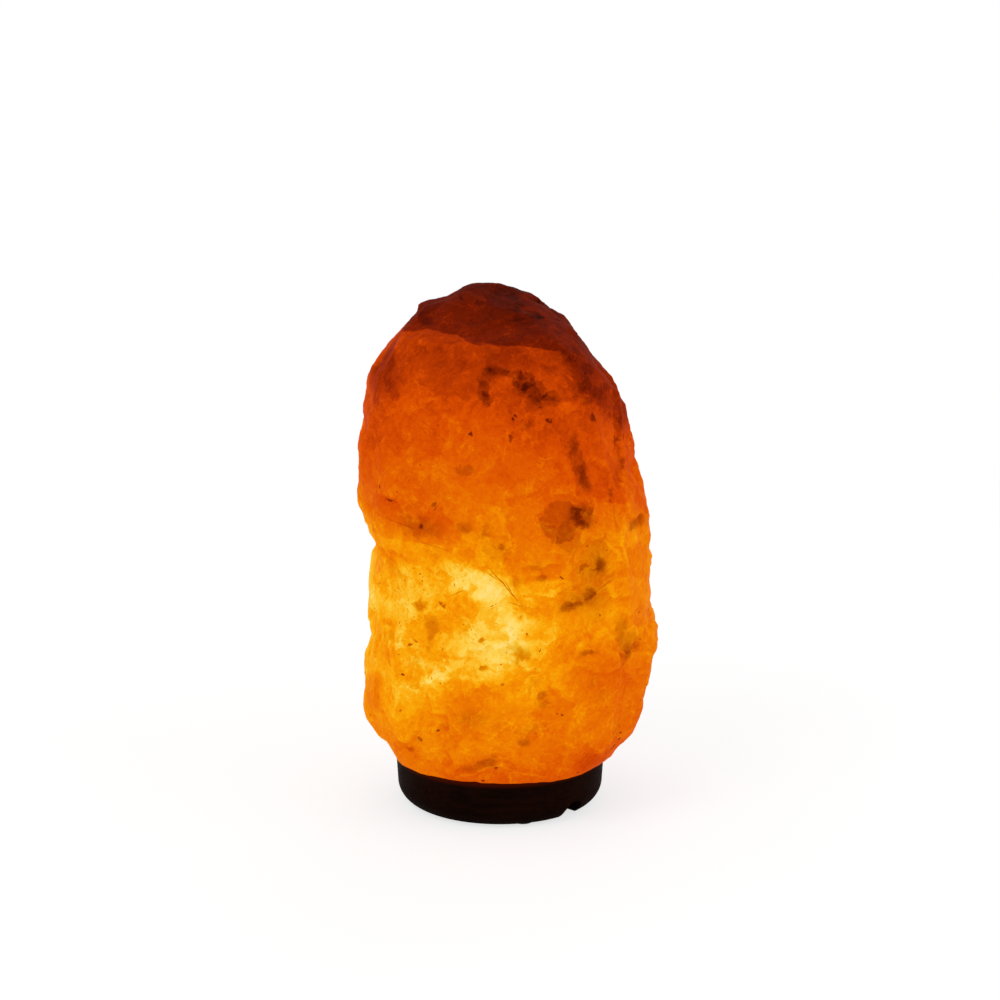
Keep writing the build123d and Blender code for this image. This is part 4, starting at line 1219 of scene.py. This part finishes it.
SENSOR = 36.0  # width of the camera's sensor, in mm
FLOOR_PAINT = (0.9, 0.9, 0.9)
FLOOR_WHITE = 0.7  # how much of the floor's look is plain white; the rest takes shadows
FLOOR_RADIUS = 4.0  # in metres
FLOOR_SIDES = 96
FLOOR_FADE = (200.0, 900.0)  # distance over which the floor turns fully white, in mm
LIGHTS_AIM = (0.0, 0.0, 0.12)  # where the lights point, in metres
KEY_LIGHT = ((-0.9, -1.0, 1.5), 1.1)  # place and width of each light, in metres
FILL_LIGHT = ((1.3, -0.6, 0.9), 1.4)
BACK_LIGHT = ((0.4, 1.4, 1.3), 1.2)


class LAMP_OT_stage(bpy.types.Operator):
    """Set up the camera, the pale floor, the room and the soft lights"""

    bl_idname = "salt_lamp.stage"
    bl_label = "Set the stage"

    def execute(self, context):
        scene = context.scene
        settings = scene.lamp_stage
        scene.view_settings.view_transform = "Standard"
        rise = settings.camera_rise
        distance = settings.camera_distance * MM
        camera_data = bpy.data.cameras.new("camera")
        camera_data.lens = settings.camera_lens
        camera_data.sensor_width = SENSOR
        camera_data.clip_start = 0.05
        camera = add("camera", camera_data)
        camera.location = (0.0, -distance * cos(rise), distance * sin(rise))
        camera.rotation_euler = (pi / 2 - settings.camera_tilt, 0.0, 0.0)
        scene.camera = camera
        self.floor()
        self.room(scene, settings.room_level)
        self.soft_light("key", *KEY_LIGHT, settings.key_strength)
        self.soft_light("fill", *FILL_LIGHT, settings.fill_strength)
        self.soft_light("back", *BACK_LIGHT, settings.fill_strength)
        return {"FINISHED"}

    def floor(self):
        """A wide disc, white to the eye but open to shadows, and clear from below."""
        angles = np.linspace(0, 2 * pi, FLOOR_SIDES + 1)[:-1]
        ring = [(FLOOR_RADIUS * cos(angle), FLOOR_RADIUS * sin(angle), 0.0) for angle in angles]
        mesh = bpy.data.meshes.new("floor")
        mesh.from_pydata(ring, [], [list(range(len(ring)))])
        floor = add("floor", mesh)
        finish = new_finish("floor_white")
        paint = finish.node("ShaderNodeBsdfDiffuse", None, {"Color": FLOOR_PAINT})
        light = finish.node("ShaderNodeEmission", None, {"Color": WHITE, "Strength": 1.0})
        clear = finish.node("ShaderNodeBsdfTransparent")
        seen = finish.node("ShaderNodeLightPath", out="Is Camera Ray")
        far = finish.ease(finish.length(finish.place()), *FLOOR_FADE)
        white = seen * (far * (1 - FLOOR_WHITE) + FLOOR_WHITE)
        front = finish.node("ShaderNodeMixShader", None, {0: white, 1: paint, 2: light})
        below = finish.node("ShaderNodeNewGeometry", out="Backfacing")
        both = finish.node("ShaderNodeMixShader", None, {0: below, 1: front, 2: clear})
        dress(floor, finish.close(both))

    def room(self, scene, level):
        """White where it is seen, mirrored or seen through glass, and dimmer as a light."""
        room = Finish(bpy.data.worlds.new("room"))
        rays = ("Is Camera Ray", "Is Glossy Ray", "Is Transmission Ray")
        seen, mirrored, through = [room.node("ShaderNodeLightPath", out=ray) for ray in rays]
        shown = greater(greater(seen, mirrored), through)
        strength = shown * (1 - level) + level
        white = room.node("ShaderNodeBackground", None, {"Color": WHITE, "Strength": strength})
        scene.world = room.close(white, "ShaderNodeOutputWorld")

    def soft_light(self, name, place, size, power):
        """A round soft light that points at the lamp."""
        light = bpy.data.lights.new(name, "AREA")
        light.shape = "DISK"
        light.size = size
        light.energy = power
        source = add(name, light)
        source.location = place
        aim = Vector(LIGHTS_AIM) - Vector(place)
        source.rotation_euler = aim.to_track_quat("-Z", "Y").to_euler()


class LAMP_OT_salt(bpy.types.Operator):
    """Hew the salt block and light it from inside"""

    bl_idname = "salt_lamp.salt"
    bl_label = "Hew the salt"

    def execute(self, context):
        settings = context.scene.lamp_salt
        mesh = hewn_salt(settings)
        material = salt_finish(settings)
        show("hewn_salt_block", mesh, "crystal_and_base", "rock_salt", material, "salt_crystal")
        return {"FINISHED"}


class LAMP_OT_base(bpy.types.Operator):
    """Finish the turned base, its screws, anchors and feet"""

    bl_idname = "salt_lamp.base"
    bl_label = "Finish the base"

    def execute(self, context):
        dress(nodes["wooden_base"], wood_finish(context.scene.lamp_wood))
        dress_nodes(BASE_FINISHES)
        return {"FINISHED"}


class LAMP_OT_holder(bpy.types.Operator):
    """Finish the clip, the cord entry and the bulb holder"""

    bl_idname = "salt_lamp.holder"
    bl_label = "Finish the holder"

    def execute(self, context):
        settings = context.scene.lamp_bulb
        dress_nodes(HOLDER_FINISHES)
        low, high = span("entry_nipple")
        nipple = threaded("entry_nipple", low.z + NIPPLE_ENDS, high.z - NIPPLE_ENDS, *NIPPLE_THREAD)
        zinc = finish_named("zinc_steel")
        show("threaded_nipple", nipple, "lamp_holder", "zinc_steel", zinc, "entry_nipple")
        low, high = span("screw_shell")
        start, end = low.z + SHELL_ENDS[0], high.z - SHELL_ENDS[1]
        shell = threaded("screw_shell", start, end, settings.thread_pitch, settings.shell_depth)
        show("threaded_shell", shell, "lamp_holder", "brass", finish_named("brass"), "screw_shell")
        return {"FINISHED"}


class LAMP_OT_bulb(bpy.types.Operator):
    """Finish the bulb's cap, glass, stem and lit filament"""

    bl_idname = "salt_lamp.bulb"
    bl_label = "Finish the bulb"

    def execute(self, context):
        settings = context.scene.lamp_bulb
        dress_nodes(BULB_FINISHES)
        foot = span("bulb_cap")[0].z
        start, end = foot + CAP_THREAD[0], foot + CAP_THREAD[1]
        cap = threaded("bulb_cap", start, end, settings.thread_pitch, settings.thread_depth)
        show("threaded_cap", cap, "bulb", "cap_aluminium", finish_named("cap_aluminium"), "bulb_cap")
        coil = coiled_filament(settings)
        show("coiled_filament", coil, "bulb", "hot_tungsten", finish_named("hot_tungsten"), "filament")
        return {"FINISHED"}


class LAMP_PT_panel(bpy.types.Panel):
    """Sidebar panel that lists the lamp's steps and settings"""

    bl_label = "Salt Lamp"
    bl_idname = "LAMP_PT_panel"
    bl_space_type = "VIEW_3D"
    bl_region_type = "UI"
    bl_category = "Salt Lamp"

    def draw(self, context):
        for step in STEPS:
            self.layout.operator(step.bl_idname)
        for group in SETTINGS:
            settings = getattr(context.scene, group)
            for name in settings.bl_rna.properties.keys():
                if name not in ("rna_type", "name"):
                    self.layout.prop(settings, name)


SETTINGS = {
    "lamp_salt": LampSaltSettings,
    "lamp_wood": LampWoodSettings,
    "lamp_bulb": LampBulbSettings,
    "lamp_stage": LampStageSettings,
}
STEPS = (LAMP_OT_stage, LAMP_OT_salt, LAMP_OT_base, LAMP_OT_holder, LAMP_OT_bulb)


def register():
    for kind in (*SETTINGS.values(), *STEPS, LAMP_PT_panel):
        bpy.utils.register_class(kind)
    for name, kind in SETTINGS.items():
        setattr(bpy.types.Scene, name, bpy.props.PointerProperty(type=kind))


def unregister():
    for name in SETTINGS:
        delattr(bpy.types.Scene, name)
    for kind in reversed((*SETTINGS.values(), *STEPS, LAMP_PT_panel)):
        bpy.utils.unregister_class(kind)


def main():
    register()
    bpy.ops.salt_lamp.stage()
    bpy.ops.salt_lamp.salt()
    bpy.ops.salt_lamp.base()
    bpy.ops.salt_lamp.holder()
    bpy.ops.salt_lamp.bulb()


if __name__ == "__main__":
    main()
